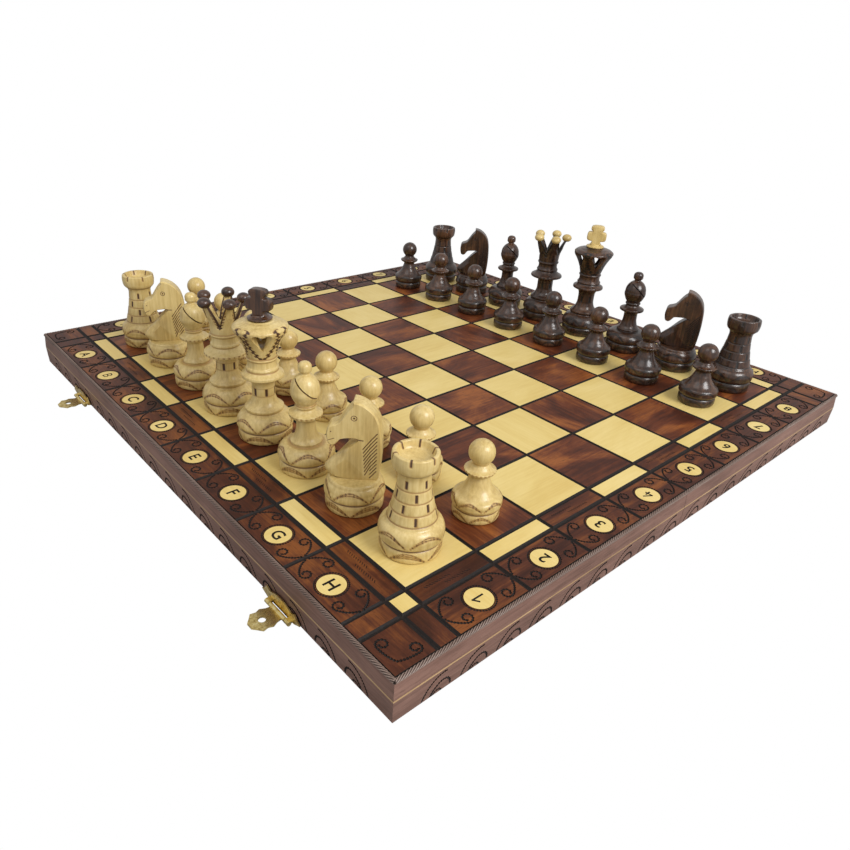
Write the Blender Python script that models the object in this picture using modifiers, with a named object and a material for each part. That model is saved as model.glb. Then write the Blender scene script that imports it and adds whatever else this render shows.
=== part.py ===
"""Folding wooden chess set: a two-half board with hinges and latches, and 32 turned and carved chessmen.

Frame: origin at the middle of the footprint, hasps included, on the surface it stands on. +Z is up, +X runs
from the a file to the h file, and +Y from white's first rank to black's eighth. Units are metres. The white
half of the board stays still, and the black half folds down and under it about the hinge pins. The functions
below measure Y from the fold, and the assembly at the end shifts everything by FOOTPRINT_SHIFT.
"""
import math

import bmesh
import bpy
from mathutils import Matrix, Vector

MM = 0.001

# Board: driving dimensions
SQUARE = 54 * MM
STRIP = 14 * MM
BORDER = 30 * MM
BOARD_HALF = 4 * SQUARE + STRIP + BORDER
RIM_Z = 1.5 * MM
THICKNESS = 30 * MM
TOP_Z = RIM_Z + THICKNESS
PANEL_T = 7 * MM
RAIL_T = 12 * MM
FELT_T = 1 * MM
GAP = 0.3 * MM
SEAM_HALF = 0.2 * MM
EDGE_ROUND = 1.5 * MM

# Fold hinges between the middle rails
FOLD_Z = RIM_Z - 0.15 * MM
HINGE_X = 150 * MM
HINGE_LENGTH = 40 * MM
LEAF_WIDTH = 9 * MM
LEAF_T = 1 * MM
KNUCKLE_R = 1.3 * MM
KNUCKLE_COUNT = 5
PIN_R = 0.55 * MM
PIN_BORE_R = 0.8 * MM

# Latches on the white half's long edge, catches on the black half's
LATCH_X = 3 * SQUARE
LATCH_Y = -(BOARD_HALF + 2.9 * MM)
LATCH_Z = 2.2 * MM
BARREL_R = 1.4 * MM
BARREL_END = 4 * MM
HASP_WIDTH = 16 * MM
HASP_REACH = 18 * MM
HASP_T = 1 * MM
HASP_DROP = 0.3 * MM
HASP_HOLE_R = 2.3 * MM
HASP_HOLE_REACH = 10 * MM
PLATE_HALF = 20 * MM
PLATE_T = 0.8 * MM
PLATE_LOW = 2.6 * MM
PLATE_HIGH = 11 * MM
STUD_R = 1.5 * MM
STUD_REACH = 4 * MM
CATCH_R = 5 * MM
FOOTPRINT_SHIFT = (-LATCH_Y + HASP_REACH - (BOARD_HALF + GAP + STUD_REACH)) / 2

# Chessmen. Their profiles below are (radius, height) in millimetres, from the top down.
TURNED_SIDES = 14
PAWN_SIDES = 12
FILES = "abcdefgh"
BACK_RANK = ["rook", "knight", "bishop", "queen", "king", "bishop", "knight", "rook"]
HEADING = {
    "b1": 245, "g1": 225, "b8": 223, "g8": 205,
    "d1": 64, "d8": 37, "e1": -12, "e8": 6,
}
FINIAL_HEADING = {"e1": -29, "e8": -57}
KNIGHT_THICKNESS = 11
CROWN_POINTS = 5
CROWN_LOW = 67.0
CROWN_DEPTH = 0.88
CROWN_SLOPE = 0.35
QUEEN_TIP_R = 15.4
QUEEN_BALL_R = 4.8
QUEEN_BALL_Z = 87.0
KING_WINDOW = (6.4, 81.0, 66.5)
FINIAL_THICKNESS = 7
FINIAL_Z = 88.6

BASE = [(17.6, 16.6), (19.3, 12.4), (17.6, 8.4), (18.3, 7.2), (18.0, 0.0), (0.0, 0.0)]
WIDE_BASE = [(18.4, 16.6), (20.3, 12.4), (18.6, 8.4), (19.3, 7.2), (19.0, 0.0), (0.0, 0.0)]
STEM = [(8.4, 43.0), (8.2, 32.0), (10.4, 26.5), (13.8, 23.0), (13.6, 20.4)]

PAWN = [
    (0.0, 52.5), (6.2, 49.9), (8.5, 44.0), (6.2, 38.2), (4.8, 35.6), (10.2, 32.4), (9.6, 30.6), (5.8, 28.8),
    (7.6, 19.0), (13.0, 14.6), (15.8, 11.0), (14.4, 6.2), (14.9, 0.0), (0.0, 0.0),
]
ROOK = [
    (0.0, 59.0), (9.5, 59.4), (11.6, 63.6), (13.4, 64.0), (14.1, 60.0), (13.2, 54.0), (11.3, 52.4), (9.9, 48.4),
    (12.7, 23.6), (13.8, 21.8),
] + BASE
BISHOP = [
    (0.0, 76.6), (4.2, 73.6), (2.9, 68.8), (7.6, 64.2), (9.6, 58.0), (8.6, 52.0), (6.3, 47.4), (6.2, 43.8),
    (11.2, 40.4), (6.4, 36.8), (7.4, 26.0), (10.4, 20.6), (10.8, 18.8),
] + BASE
KNIGHT_FOOT = [(0.0, 22.4), (15.8, 22.4), (16.4, 19.4)] + BASE
QUEEN = [
    (0.0, 73.0), (8.0, 75.0), (13.6, 86.6), (16.6, 86.0), (12.4, 74.0), (9.8, 60.0), (10.6, 52.0), (16.2, 46.6),
] + STEM + WIDE_BASE
KING = [
    (0.0, 88.3), (9.0, 88.0), (19.0, 83.4), (18.0, 79.0), (10.2, 62.0), (11.2, 53.0), (14.8, 48.4),
] + STEM + WIDE_BASE

# The knight's head in side view, (forward, up) in millimetres, from the nose over the ear and down the back
KNIGHT_HEAD = [
    (19.0, 50.0), (17.6, 56.4), (13.4, 59.6), (8.4, 65.4), (2.6, 72.4), (1.6, 77.0), (-3.0, 75.8), (-8.4, 72.6),
    (-12.9, 66.4), (-15.4, 58.0), (-16.2, 46.0), (-15.6, 34.0), (-14.0, 21.5), (12.4, 21.5), (19.2, 27.4),
    (10.8, 40.0), (3.0, 50.0), (11.4, 48.8), (14.4, 44.6), (17.4, 45.2),
]
# Half of the king's cross in front view, (across, up) from its foot to its top, in millimetres
CROSS_HALF = [
    (8.4, 0.0), (8.2, 1.6), (5.6, 3.6), (5.2, 7.4), (8.4, 8.4), (8.4, 14.4), (5.4, 15.6), (5.6, 19.0), (3.4, 21.2),
]
PLATE_HALF_OUTLINE = [(1.0, 0.30), (0.86, 0.48), (0.74, 0.92), (0.56, 0.72), (0.34, 0.88), (0.18, 1.0)]


def clear_scene():
    for item in list(bpy.data.objects):
        bpy.data.objects.remove(item, do_unlink=True)


def new_collection(name):
    collection = bpy.data.collections.new(name)
    bpy.context.scene.collection.children.link(collection)
    return collection


def material(name, color, roughness, metallic=0.0):
    made = bpy.data.materials.new(name)
    made.use_nodes = True
    shader = made.node_tree.nodes["Principled BSDF"]
    shader.inputs["Base Color"].default_value = (*color, 1.0)
    shader.inputs["Roughness"].default_value = roughness
    shader.inputs["Metallic"].default_value = metallic
    return made


def add_object(name, mesh, finish=None):
    """Link a mesh as a part, or, with no finish, as a guide that only cuts or joins parts."""
    item = bpy.data.objects.new(name, mesh)
    if finish:
        PARTS.objects.link(item)
        mesh.materials.append(finish)
    else:
        GUIDES.objects.link(item)
        item.display_type = "WIRE"
        item.hide_render = True
    return item


def add_box(name, low, high, finish=None):
    """A box between two opposite corners, with its origin at its centre."""
    mesh = bpy.data.meshes.new(name)
    shape = bmesh.new()
    bmesh.ops.create_cube(shape, size=1.0)
    bmesh.ops.scale(shape, vec=Vector(high) - Vector(low), verts=shape.verts)
    shape.to_mesh(mesh)
    shape.free()
    item = add_object(name, mesh, finish)
    item.location = (Vector(high) + Vector(low)) / 2
    return item


def add_rod(name, center, radius, length, axis, sides, finish=None):
    """A closed cylinder along the X, Y or Z axis."""
    mesh = bpy.data.meshes.new(name)
    shape = bmesh.new()
    bmesh.ops.create_cone(shape, cap_ends=True, segments=sides, radius1=radius, radius2=radius, depth=length)
    if axis != "Z":
        turn = Matrix.Rotation(math.pi / 2, 4, "Y" if axis == "X" else "X")
        bmesh.ops.transform(shape, matrix=turn, verts=shape.verts)
    shape.to_mesh(mesh)
    shape.free()
    item = add_object(name, mesh, finish)
    item.location = center
    return item


def add_outline(name, points, thickness, finish=None):
    """A flat closed outline in the local XZ plane, thickened along local Y, as a welded mesh."""
    curve = bpy.data.curves.new(name, "CURVE")
    curve.dimensions = "2D"
    curve.fill_mode = "BOTH"
    curve.extrude = thickness / 2
    spline = curve.splines.new("POLY")
    spline.points.add(len(points) - 1)
    for point, (across, up) in zip(spline.points, points):
        point.co = (across, up, 0.0, 1.0)
    spline.use_cyclic_u = True
    flat = bpy.data.objects.new(name + "_curve", curve)
    GUIDES.objects.link(flat)
    bpy.context.view_layer.update()
    mesh = bpy.data.meshes.new_from_object(flat.evaluated_get(bpy.context.evaluated_depsgraph_get()))
    bpy.data.objects.remove(flat)
    bpy.data.curves.remove(curve)
    mesh.name = name
    mesh.transform(Matrix.Rotation(math.pi / 2, 4, "X"))
    shape = bmesh.new()
    shape.from_mesh(mesh)
    bmesh.ops.remove_doubles(shape, verts=shape.verts, dist=0.01 * MM)
    bmesh.ops.recalc_face_normals(shape, faces=shape.faces)
    shape.to_mesh(mesh)
    shape.free()
    return add_object(name, mesh, finish)


def add_turned(name, profile, sides, finish=None):
    """A turned shape from (radius, height) points in millimetres, listed from its top down."""
    mesh = bpy.data.meshes.new(name)
    corners = [(radius * MM, 0.0, height * MM) for radius, height in profile]
    mesh.from_pydata(corners, [(i, i + 1) for i in range(len(corners) - 1)], [])
    item = add_object(name, mesh, finish)
    screw = item.modifiers.new("turn", "SCREW")
    screw.axis = "Z"
    screw.angle = 2 * math.pi
    screw.steps = sides
    screw.render_steps = sides
    screw.use_merge_vertices = True
    screw.merge_threshold = 0.01 * MM
    screw.use_smooth_shade = True
    return item


def combine(item, guide, operation):
    """Add a guide's shape to an object (UNION) or cut it away (DIFFERENCE).

    The guide is placed in the object's own coordinates, and follows it from then on.
    """
    guide.parent = item
    step = item.modifiers.new(guide.name, "BOOLEAN")
    step.operation = operation
    step.solver = "EXACT"
    step.object = guide


def combine_placed(item, guide, operation):
    """The same for a guide that was placed in the board's coordinates, as the object was."""
    guide.location -= item.location
    combine(item, guide, operation)


def round_edges(item, width):
    step = item.modifiers.new("round", "BEVEL")
    step.width = width
    step.segments = 2
    step.limit_method = "ANGLE"


def span(side, near, far):
    """Low and high values of a stretch that starts at near and ends at far on one side of zero."""
    return sorted((side * near, side * far))


# ---------------------------------------------------------------- the board


def build_half(colour, side):
    """Panel, four rails and felt of one half. side is -1 for white's half and +1 for black's."""
    whole = span(side, SEAM_HALF, BOARD_HALF)
    rail_top = TOP_Z - PANEL_T - GAP
    inside = BOARD_HALF - RAIL_T - GAP
    panel = add_box(f"panel_{colour}", (-BOARD_HALF, whole[0], TOP_Z - PANEL_T), (BOARD_HALF, whole[1], TOP_Z),
                    STAINED)
    round_edges(panel, EDGE_ROUND)
    pieces = [panel]
    for end, sign in (("left", -1), ("right", 1)):
        width = span(sign, BOARD_HALF - RAIL_T, BOARD_HALF)
        pieces.append(add_box(f"rail_{colour}_{end}", (width[0], whole[0], RIM_Z), (width[1], whole[1], rail_top),
                              STAINED))
    edge = span(side, BOARD_HALF - RAIL_T, BOARD_HALF)
    pieces.append(add_box(f"rail_{colour}_outer", (-inside, edge[0], RIM_Z), (inside, edge[1], rail_top), STAINED))
    near = span(side, SEAM_HALF, RAIL_T)
    middle = add_box(f"rail_{colour}_middle", (-inside, near[0], RIM_Z), (inside, near[1], rail_top), STAINED)
    for label, hinge_x in (("left", -HINGE_X), ("right", HINGE_X)):
        cut_hinge_mortise(middle, f"{colour}_{label}", hinge_x, side)
    pieces.append(middle)
    lined = span(side, RAIL_T + GAP, inside)
    pieces.append(add_box(f"felt_{colour}", (-inside, lined[0], rail_top - FELT_T), (inside, lined[1], rail_top),
                          FELT))
    return pieces


def cut_hinge_mortise(rail, label, hinge_x, side):
    """The recess for a leaf in a middle rail, and the deeper notch for its knuckles."""
    half = HINGE_LENGTH / 2 + GAP
    cuts = [
        ("leaf_recess", LEAF_WIDTH + GAP, RIM_Z + LEAF_T + 2 * GAP),
        ("knuckle_notch", KNUCKLE_R + 2 * GAP, FOLD_Z + KNUCKLE_R + GAP),
    ]
    for name, reach, ceiling in cuts:
        width = span(side, -MM, reach)
        guide = add_box(f"{name}_{label}", (hinge_x - half, width[0], -MM), (hinge_x + half, width[1], ceiling))
        combine_placed(rail, guide, "DIFFERENCE")


def build_hinge_leaf(colour, side, label, hinge_x, first):
    """One leaf with every second knuckle, starting from the given one."""
    pitch = HINGE_LENGTH / KNUCKLE_COUNT
    low = RIM_Z + GAP
    width = span(side, KNUCKLE_R + GAP, LEAF_WIDTH)
    leaf = add_box(f"hinge_leaf_{colour}_{label}", (hinge_x - HINGE_LENGTH / 2, width[0], low),
                   (hinge_x + HINGE_LENGTH / 2, width[1], low + LEAF_T), BRASS)
    web = span(side, 0.4 * KNUCKLE_R, KNUCKLE_R + 2 * GAP)
    for index in range(first, KNUCKLE_COUNT, 2):
        center = hinge_x - HINGE_LENGTH / 2 + (index + 0.5) * pitch
        reach = (pitch - GAP) / 2
        tag = f"{colour}_{label}_{index}"
        root = add_box(f"web_{tag}", (center - reach, web[0], low), (center + reach, web[1], low + 0.6 * LEAF_T))
        combine_placed(leaf, root, "UNION")
        knuckle = add_rod(f"knuckle_{tag}", (center, 0, FOLD_Z), KNUCKLE_R, 2 * reach, "X", 12)
        combine_placed(leaf, knuckle, "UNION")
    bore = add_rod(f"bore_{colour}_{label}", (hinge_x, 0, FOLD_Z), PIN_BORE_R, HINGE_LENGTH + MM, "X", 10)
    combine_placed(leaf, bore, "DIFFERENCE")
    return leaf


def build_fold_hinges():
    """Both hinges, returned as the pieces that stay with white's half and those that turn with black's."""
    still = []
    turning = []
    for label, hinge_x in (("left", -HINGE_X), ("right", HINGE_X)):
        still.append(build_hinge_leaf("white", -1, label, hinge_x, 0))
        turning.append(build_hinge_leaf("black", 1, label, hinge_x, 1))
        still.append(add_rod(f"hinge_pin_{label}", (hinge_x, 0, FOLD_Z), PIN_R, HINGE_LENGTH, "X", 10, BRASS))
    return still, turning


def plate_outline():
    """The latch plate's winged outline, symmetric about its middle."""
    rise = PLATE_HIGH - PLATE_LOW
    right = [(across * PLATE_HALF, up * rise) for across, up in PLATE_HALF_OUTLINE]
    left = [(-across, up) for across, up in reversed(right)]
    foot = [(-0.7 * PLATE_HALF, 0.0), (0.7 * PLATE_HALF, 0.0)]
    return right + left + foot


def build_latch_plate(label, latch_x):
    """The fixed plate with a short barrel at each end of the hasp."""
    plate = add_outline(f"latch_plate_{label}", plate_outline(), PLATE_T, BRASS)
    plate.location = (latch_x, -(BOARD_HALF + GAP + PLATE_T / 2), PLATE_LOW)
    for sign in (-1, 1):
        center = latch_x + sign * (HASP_WIDTH / 2 + GAP + BARREL_END / 2)
        barrel = add_rod(f"plate_barrel_{label}_{sign:+d}", (center, LATCH_Y, LATCH_Z), BARREL_R, BARREL_END, "X",
                         12)
        combine_placed(plate, barrel, "UNION")
        web = add_box(f"plate_web_{label}_{sign:+d}", (center - BARREL_END / 2, LATCH_Y, LATCH_Z),
                      (center + BARREL_END / 2, -(BOARD_HALF + GAP), PLATE_LOW + MM))
        combine_placed(plate, web, "UNION")
    return plate


def hasp_outline():
    """The hasp seen from above, (across, out from its barrel), with scalloped sides and a lobed end."""
    half = HASP_WIDTH / 2
    right = [
        (0.72 * half, 0.0), (0.80 * half, 0.22 * HASP_REACH), (1.0 * half, 0.40 * HASP_REACH),
        (0.86 * half, 0.56 * HASP_REACH), (0.96 * half, 0.74 * HASP_REACH), (0.62 * half, 0.86 * HASP_REACH),
        (0.28 * half, HASP_REACH),
    ]
    return right + [(-across, out) for across, out in reversed(right)]


def build_hasp(label, latch_x):
    """The swinging hasp; its origin is on its barrel's axis."""
    hasp = add_rod(f"hasp_{label}", (latch_x, LATCH_Y, LATCH_Z), BARREL_R, HASP_WIDTH, "X", 12, BRASS)
    flap = add_outline(f"flap_{label}", hasp_outline(), HASP_T)
    flap.rotation_euler = (math.pi / 2, 0, 0)
    flap.location = (0, 0, -HASP_DROP)
    combine(hasp, flap, "UNION")
    hole = add_rod(f"hasp_hole_{label}", (0, -HASP_HOLE_REACH, 0), HASP_HOLE_R, 6 * MM, "Z", 12)
    combine(hasp, hole, "DIFFERENCE")
    return hasp


def build_catch(label, latch_x):
    """A round plate with a stud, which the hasp's hole goes over when the board is closed."""
    height = 2 * FOLD_Z - (LATCH_Z - HASP_HOLE_REACH)
    face = BOARD_HALF + GAP
    catch = add_rod(f"catch_{label}", (latch_x, face + PLATE_T / 2, height), CATCH_R, PLATE_T, "Y", 16, BRASS)
    stud = add_rod(f"catch_stud_{label}", (latch_x, face + STUD_REACH / 2, height), STUD_R, STUD_REACH, "Y", 12)
    combine_placed(catch, stud, "UNION")
    return catch


# ---------------------------------------------------------------- the chessmen


def build_knight(name, finish):
    """A turned foot with the flat-sided head standing on it, facing local +X."""
    knight = add_turned(name, KNIGHT_FOOT, TURNED_SIDES, finish)
    outline = [(forward * MM, up * MM) for forward, up in KNIGHT_HEAD]
    head = add_outline(f"{name}_head", outline, KNIGHT_THICKNESS * MM)
    combine(knight, head, "UNION")
    return knight


def build_queen(name, finish):
    """A turned queen whose hollow crown is drawn up into points, each with a ball."""
    queen = add_turned(name, QUEEN, 4 * CROWN_POINTS, finish)
    raise_crown_points(queen)
    for index in range(CROWN_POINTS):
        tip_angle = 2 * math.pi * index / CROWN_POINTS
        ball = add_ball(f"{name}_ball_{index}", QUEEN_BALL_R * MM)
        ball.location = (QUEEN_TIP_R * MM * math.cos(tip_angle), QUEEN_TIP_R * MM * math.sin(tip_angle),
                         QUEEN_BALL_Z * MM)
        combine(queen, ball, "UNION")
    return queen


def raise_crown_points(queen):
    """Fix the turned mesh, then lower its crown's rim between the points along the crown's slope."""
    bpy.context.view_layer.update()
    turned = bpy.data.meshes.new_from_object(queen.evaluated_get(bpy.context.evaluated_depsgraph_get()))
    queen.modifiers.clear()
    queen.data = turned
    for corner in turned.vertices:
        radius = math.hypot(corner.co.x, corner.co.y)
        above = corner.co.z - CROWN_LOW * MM
        if above <= 0 or radius < MM:
            continue
        turn = math.atan2(corner.co.y, corner.co.x) * CROWN_POINTS / (2 * math.pi)
        nearness = 2 * abs((turn % 1.0) - 0.5)
        drop = above * CROWN_DEPTH * (1 - nearness)
        shrink = (radius - CROWN_SLOPE * drop) / radius
        corner.co = (corner.co.x * shrink, corner.co.y * shrink, corner.co.z - drop)


def add_ball(name, radius):
    mesh = bpy.data.meshes.new(name)
    shape = bmesh.new()
    bmesh.ops.create_uvsphere(shape, u_segments=7, v_segments=5, radius=radius)
    shape.to_mesh(mesh)
    shape.free()
    return add_object(name, mesh)


def build_king(name, finish):
    """A turned king with two crossing window slots, which leave four ribs in the crown."""
    king = add_turned(name, KING, TURNED_SIDES, finish)
    half_width, top, bottom = [size * MM for size in KING_WINDOW]
    for index in range(2):
        window = add_outline(f"{name}_window_{index}", [(-half_width, top), (0.0, bottom), (half_width, top)],
                             50 * MM)
        window.rotation_euler = (0, 0, index * math.pi / 2)
        combine(king, window, "DIFFERENCE")
    return king


def build_finial(name, finish):
    """The contrasting cross on top of a king, with a round foot."""
    right = [(across * MM, up * MM) for across, up in CROSS_HALF]
    outline = right + [(-across, up) for across, up in reversed(right)]
    finial = add_outline(name, outline, FINIAL_THICKNESS * MM, finish)
    foot = add_turned(f"{name}_foot", [(0.0, 3.0), (5.0, 3.0), (8.4, 1.4), (8.4, 0.0), (0.0, 0.0)], 12)
    combine(finial, foot, "UNION")
    return finial


def build_chessman(name, kind, finish):
    if kind == "pawn":
        return add_turned(name, PAWN, PAWN_SIDES, finish)
    if kind == "rook":
        return add_turned(name, ROOK, TURNED_SIDES, finish)
    if kind == "bishop":
        return add_turned(name, BISHOP, TURNED_SIDES, finish)
    if kind == "knight":
        return build_knight(name, finish)
    if kind == "queen":
        return build_queen(name, finish)
    return build_king(name, finish)


def square_center(square):
    across = FILES.index(square[0]) - 3.5
    along = int(square[1]) - 4.5
    return Vector((across * SQUARE, along * SQUARE, TOP_Z + GAP))


def build_army(colour, back_rank, pawn_rank, finish, contrast):
    """All sixteen men of one colour on their starting squares."""
    men = []
    for index, kind in enumerate(BACK_RANK):
        men.append((kind, f"{FILES[index]}{back_rank}"))
        men.append(("pawn", f"{FILES[index]}{pawn_rank}"))
    placed = []
    for kind, square in men:
        man = build_chessman(f"{colour}_{kind}_{square}", kind, finish)
        man.location = square_center(square)
        man.rotation_euler = (0, 0, math.radians(HEADING.get(square, 0)))
        placed.append(man)
        if kind == "king":
            cross = build_finial(f"{colour}_king_cross", contrast)
            cross.location = square_center(square) + Vector((0, 0, FINIAL_Z * MM))
            cross.rotation_euler = (0, 0, math.radians(FINIAL_HEADING[square] + 90))
            placed.append(cross)
    return placed


# ---------------------------------------------------------------- assembly


def hold(pieces, anchor_name, height):
    """Parent pieces to an empty on the fold's centre line, then shift it to the footprint's frame."""
    anchor = bpy.data.objects.new(anchor_name, None)
    PARTS.objects.link(anchor)
    anchor.location = (0, 0, height)
    bpy.context.view_layer.update()
    for piece in pieces:
        piece.parent = anchor
        piece.matrix_parent_inverse = anchor.matrix_world.inverted()
    anchor.location.y = FOOTPRINT_SHIFT


clear_scene()
PARTS = new_collection("chess_set_with_board")
GUIDES = new_collection("cutters_and_guides")
STAINED = material("stained_wood", (0.22, 0.10, 0.07), 0.45)
PALE = material("pale_wood", (0.80, 0.64, 0.36), 0.45)
DARK = material("dark_wood", (0.07, 0.035, 0.02), 0.35)
BRASS = material("brass", (0.83, 0.66, 0.30), 0.25, 1.0)
FELT = material("felt", (0.05, 0.16, 0.09), 0.95)

hinge_still, hinge_turning = build_fold_hinges()
white_half = build_half("white", -1) + hinge_still
black_half = build_half("black", 1) + hinge_turning
for latch_label, latch_center in (("left", -LATCH_X), ("right", LATCH_X)):
    white_half.append(build_latch_plate(latch_label, latch_center))
    white_half.append(build_hasp(latch_label, latch_center))
    black_half.append(build_catch(latch_label, latch_center))
white_half += build_army("white", 1, 2, PALE, DARK)
black_half += build_army("black", 8, 7, DARK, PALE)
hold(white_half, "white_half", 0)
hold(black_half, "black_half_on_fold_axis", FOLD_Z)
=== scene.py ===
"""Folding chess set: inlaid and burnt board, carved rails, brass fittings and carved chessmen."""

import math
import random

import bmesh
import bpy
import numpy as np
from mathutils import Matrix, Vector


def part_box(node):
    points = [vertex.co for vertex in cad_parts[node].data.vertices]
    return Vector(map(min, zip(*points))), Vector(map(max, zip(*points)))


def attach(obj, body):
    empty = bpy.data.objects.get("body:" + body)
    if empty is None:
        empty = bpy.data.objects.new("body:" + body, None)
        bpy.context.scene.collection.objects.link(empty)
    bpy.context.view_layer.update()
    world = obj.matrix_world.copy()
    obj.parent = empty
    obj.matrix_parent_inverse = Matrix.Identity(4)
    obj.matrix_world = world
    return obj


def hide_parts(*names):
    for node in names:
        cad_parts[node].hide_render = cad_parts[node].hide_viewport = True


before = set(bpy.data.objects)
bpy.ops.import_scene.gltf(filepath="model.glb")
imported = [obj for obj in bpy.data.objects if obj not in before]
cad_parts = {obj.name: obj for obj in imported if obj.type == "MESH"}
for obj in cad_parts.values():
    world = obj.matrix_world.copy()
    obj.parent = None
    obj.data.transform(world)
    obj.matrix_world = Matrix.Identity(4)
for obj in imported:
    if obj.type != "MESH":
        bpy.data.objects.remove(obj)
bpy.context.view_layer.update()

MM = 0.001
TAU = 2 * math.pi

# Board sizes in metres; the board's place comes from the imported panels
SQUARE = 54 * MM
STRIP = 14 * MM
BEAD = 2.6 * MM
GROOVE = 0.9 * MM
SKIN = 2.0 * MM
TILE_SLOPE = 0.35
# Half widths of the burnt lines between squares, round the field, round the strip and beside the rope edge
FIELD_LINE = 1.3 * MM
FRAME_LINE = 1.5 * MM
STRIP_LINE = 1.7 * MM
BEAD_LINE = 0.3 * MM
DISC_R = 8.2 * MM
DISC_SEAT_R = 8.65 * MM
DOT_RING_R = 9.5 * MM
DISC_OUT = 1.0 * MM
FILES = "abcdefgh"
COLOURS = (("white", -1), ("black", 1))

PANEL_LOW, PANEL_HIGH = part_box("panel_white")
BOARD_HALF = PANEL_HIGH.x
TOP = PANEL_HIGH.z
FOLD_Y = (PANEL_HIGH.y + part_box("panel_black")[0].y) / 2
SEAM = FOLD_Y - PANEL_HIGH.y
FIELD_HALF = 4 * SQUARE
STRIP_EDGE = FIELD_HALF + STRIP
BEAD_EDGE = BOARD_HALF - BEAD
GRID = [(i - 4) * SQUARE for i in range(9)]

# Edges sharper than this stay crisp on smoothly shaded pieces
CRISP_ANGLE = math.radians(40)

rng = random.Random(7)


# ------------------------------------------------------------------ materials


class Nodes:
    """Short ways to add and join the shader nodes of one material."""

    def __init__(self, name):
        self.material = bpy.data.materials.new(name)
        self.material.use_nodes = True
        self.tree = self.material.node_tree
        self.shader = self.tree.nodes["Principled BSDF"]

    def feed(self, node, inputs):
        """Gives each input a plain value or another node's output."""
        for key, value in inputs.items():
            if isinstance(value, bpy.types.NodeSocket):
                self.tree.links.new(value, node.inputs[key])
            else:
                node.inputs[key].default_value = value

    def add(self, kind, output, inputs=None, **settings):
        """One output of a new node."""
        node = self.tree.nodes.new(kind)
        for key, value in settings.items():
            setattr(node, key, value)
        self.feed(node, inputs or {})
        return node.outputs[output]

    def own_place(self):
        return self.add("ShaderNodeTexCoord", "Object")

    def attribute(self, name, output):
        return self.add("ShaderNodeAttribute", output, attribute_name=name)

    def noise(self, vector, scale, detail=4.0, roughness=0.55, distortion=0.0, stretch=None):
        """Noise, drawn out along the first axis by a stretch below 1."""
        if stretch is not None:
            vector = self.add("ShaderNodeMapping", "Vector", {"Vector": vector, "Scale": (stretch, 1.0, 1.0)})
        return self.add("ShaderNodeTexNoise", "Fac", {"Vector": vector, "Scale": scale, "Detail": detail,
                                                      "Roughness": roughness, "Distortion": distortion})

    def ramp(self, factor, stops):
        node = self.tree.nodes.new("ShaderNodeValToRGB")
        elements = node.color_ramp.elements
        while len(elements) < len(stops):
            elements.new(0.5)
        for element, (place, color) in zip(elements, stops):
            element.position = place
            element.color = (*color, 1.0)
        self.feed(node, {"Fac": factor})
        return node.outputs["Color"]

    def math(self, operation, *values, clamp=False):
        return self.add("ShaderNodeMath", 0, dict(enumerate(values)), operation=operation, use_clamp=clamp)

    def weighted(self, first, share, second, other):
        """The sum of two values, the first times its share and the second times the other's."""
        return self.math("ADD", self.math("MULTIPLY", first, share), self.math("MULTIPLY", second, other))

    def spread(self, value, low, high, to_low=0.0, to_high=1.0):
        """A value taken smoothly from one range to another."""
        return self.add("ShaderNodeMapRange", "Result", {"Value": value, "From Min": low, "From Max": high,
                                                         "To Min": to_low, "To Max": to_high},
                        interpolation_type="SMOOTHSTEP")

    def mix(self, factor, first, second):
        first, second = [(*c, 1.0) if isinstance(c, tuple) else c for c in (first, second)]
        return self.add("ShaderNodeMix", 2, {0: factor, 6: first, 7: second}, data_type="RGBA")

    def bump(self, height, strength, distance):
        self.set(Normal=self.add("ShaderNodeBump", "Normal",
                                 {"Height": height, "Strength": strength, "Distance": distance}))

    def set(self, **inputs):
        self.feed(self.shader, {key.replace("_", " "): value for key, value in inputs.items()})
        return self.material


def wood(name, dark, middle, light, figure, gloss, coat=0.0, burn=(0.018, 0.010, 0.006), toast=None,
         streaks=0.35, fine=0.5, shine=0.5, from_object=False):
    """Wood read along the grain attribute, with a cloudy figure, fine streaks and burnt marks.

    figure is (cloud size in metres, contrast). toast is the colour round a burnt mark. A CAD node carries no
    attributes, so its wood is read from its own coordinates.
    """
    n = Nodes(name)
    grain = n.own_place() if from_object else n.attribute("grain", "Vector")
    cloud_size, contrast = figure
    clouds = n.noise(grain, 1 / cloud_size, 5.0, 0.6, 0.8, stretch=0.45)
    lines = n.noise(grain, 520.0, 3.0, 0.6, stretch=0.05)
    pores = n.noise(grain, 1700.0, 2.0, 0.5, stretch=0.10)
    tone = n.math("ADD", n.weighted(clouds, contrast, lines, streaks), 0.5 - 0.5 * (contrast + streaks))
    color = n.ramp(tone, [(0.36, dark), (0.5, middle), (0.66, light)])
    color = n.mix(n.spread(pores, 0.56, 0.72, 0.0, fine), color, dark)
    roughness = n.math("ADD", n.math("MULTIPLY", lines, 0.12), gloss - 0.06)
    if not from_object:
        burnt = n.attribute("burn", "Fac")
        color = n.mix(n.spread(burnt, 0.0, 0.45), color, toast or dark)
        color = n.mix(n.spread(burnt, 0.35, 0.95), color, burn)
        roughness = n.math("ADD", roughness, n.math("MULTIPLY", burnt, 0.2), clamp=True)
    n.bump(n.weighted(pores, -0.5, lines, 0.6), 0.16, 0.0006)
    n.set(Coat_Weight=coat, Coat_Roughness=0.18, Specular_IOR_Level=shine)
    return n.set(Base_Color=color, Roughness=roughness)


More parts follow.
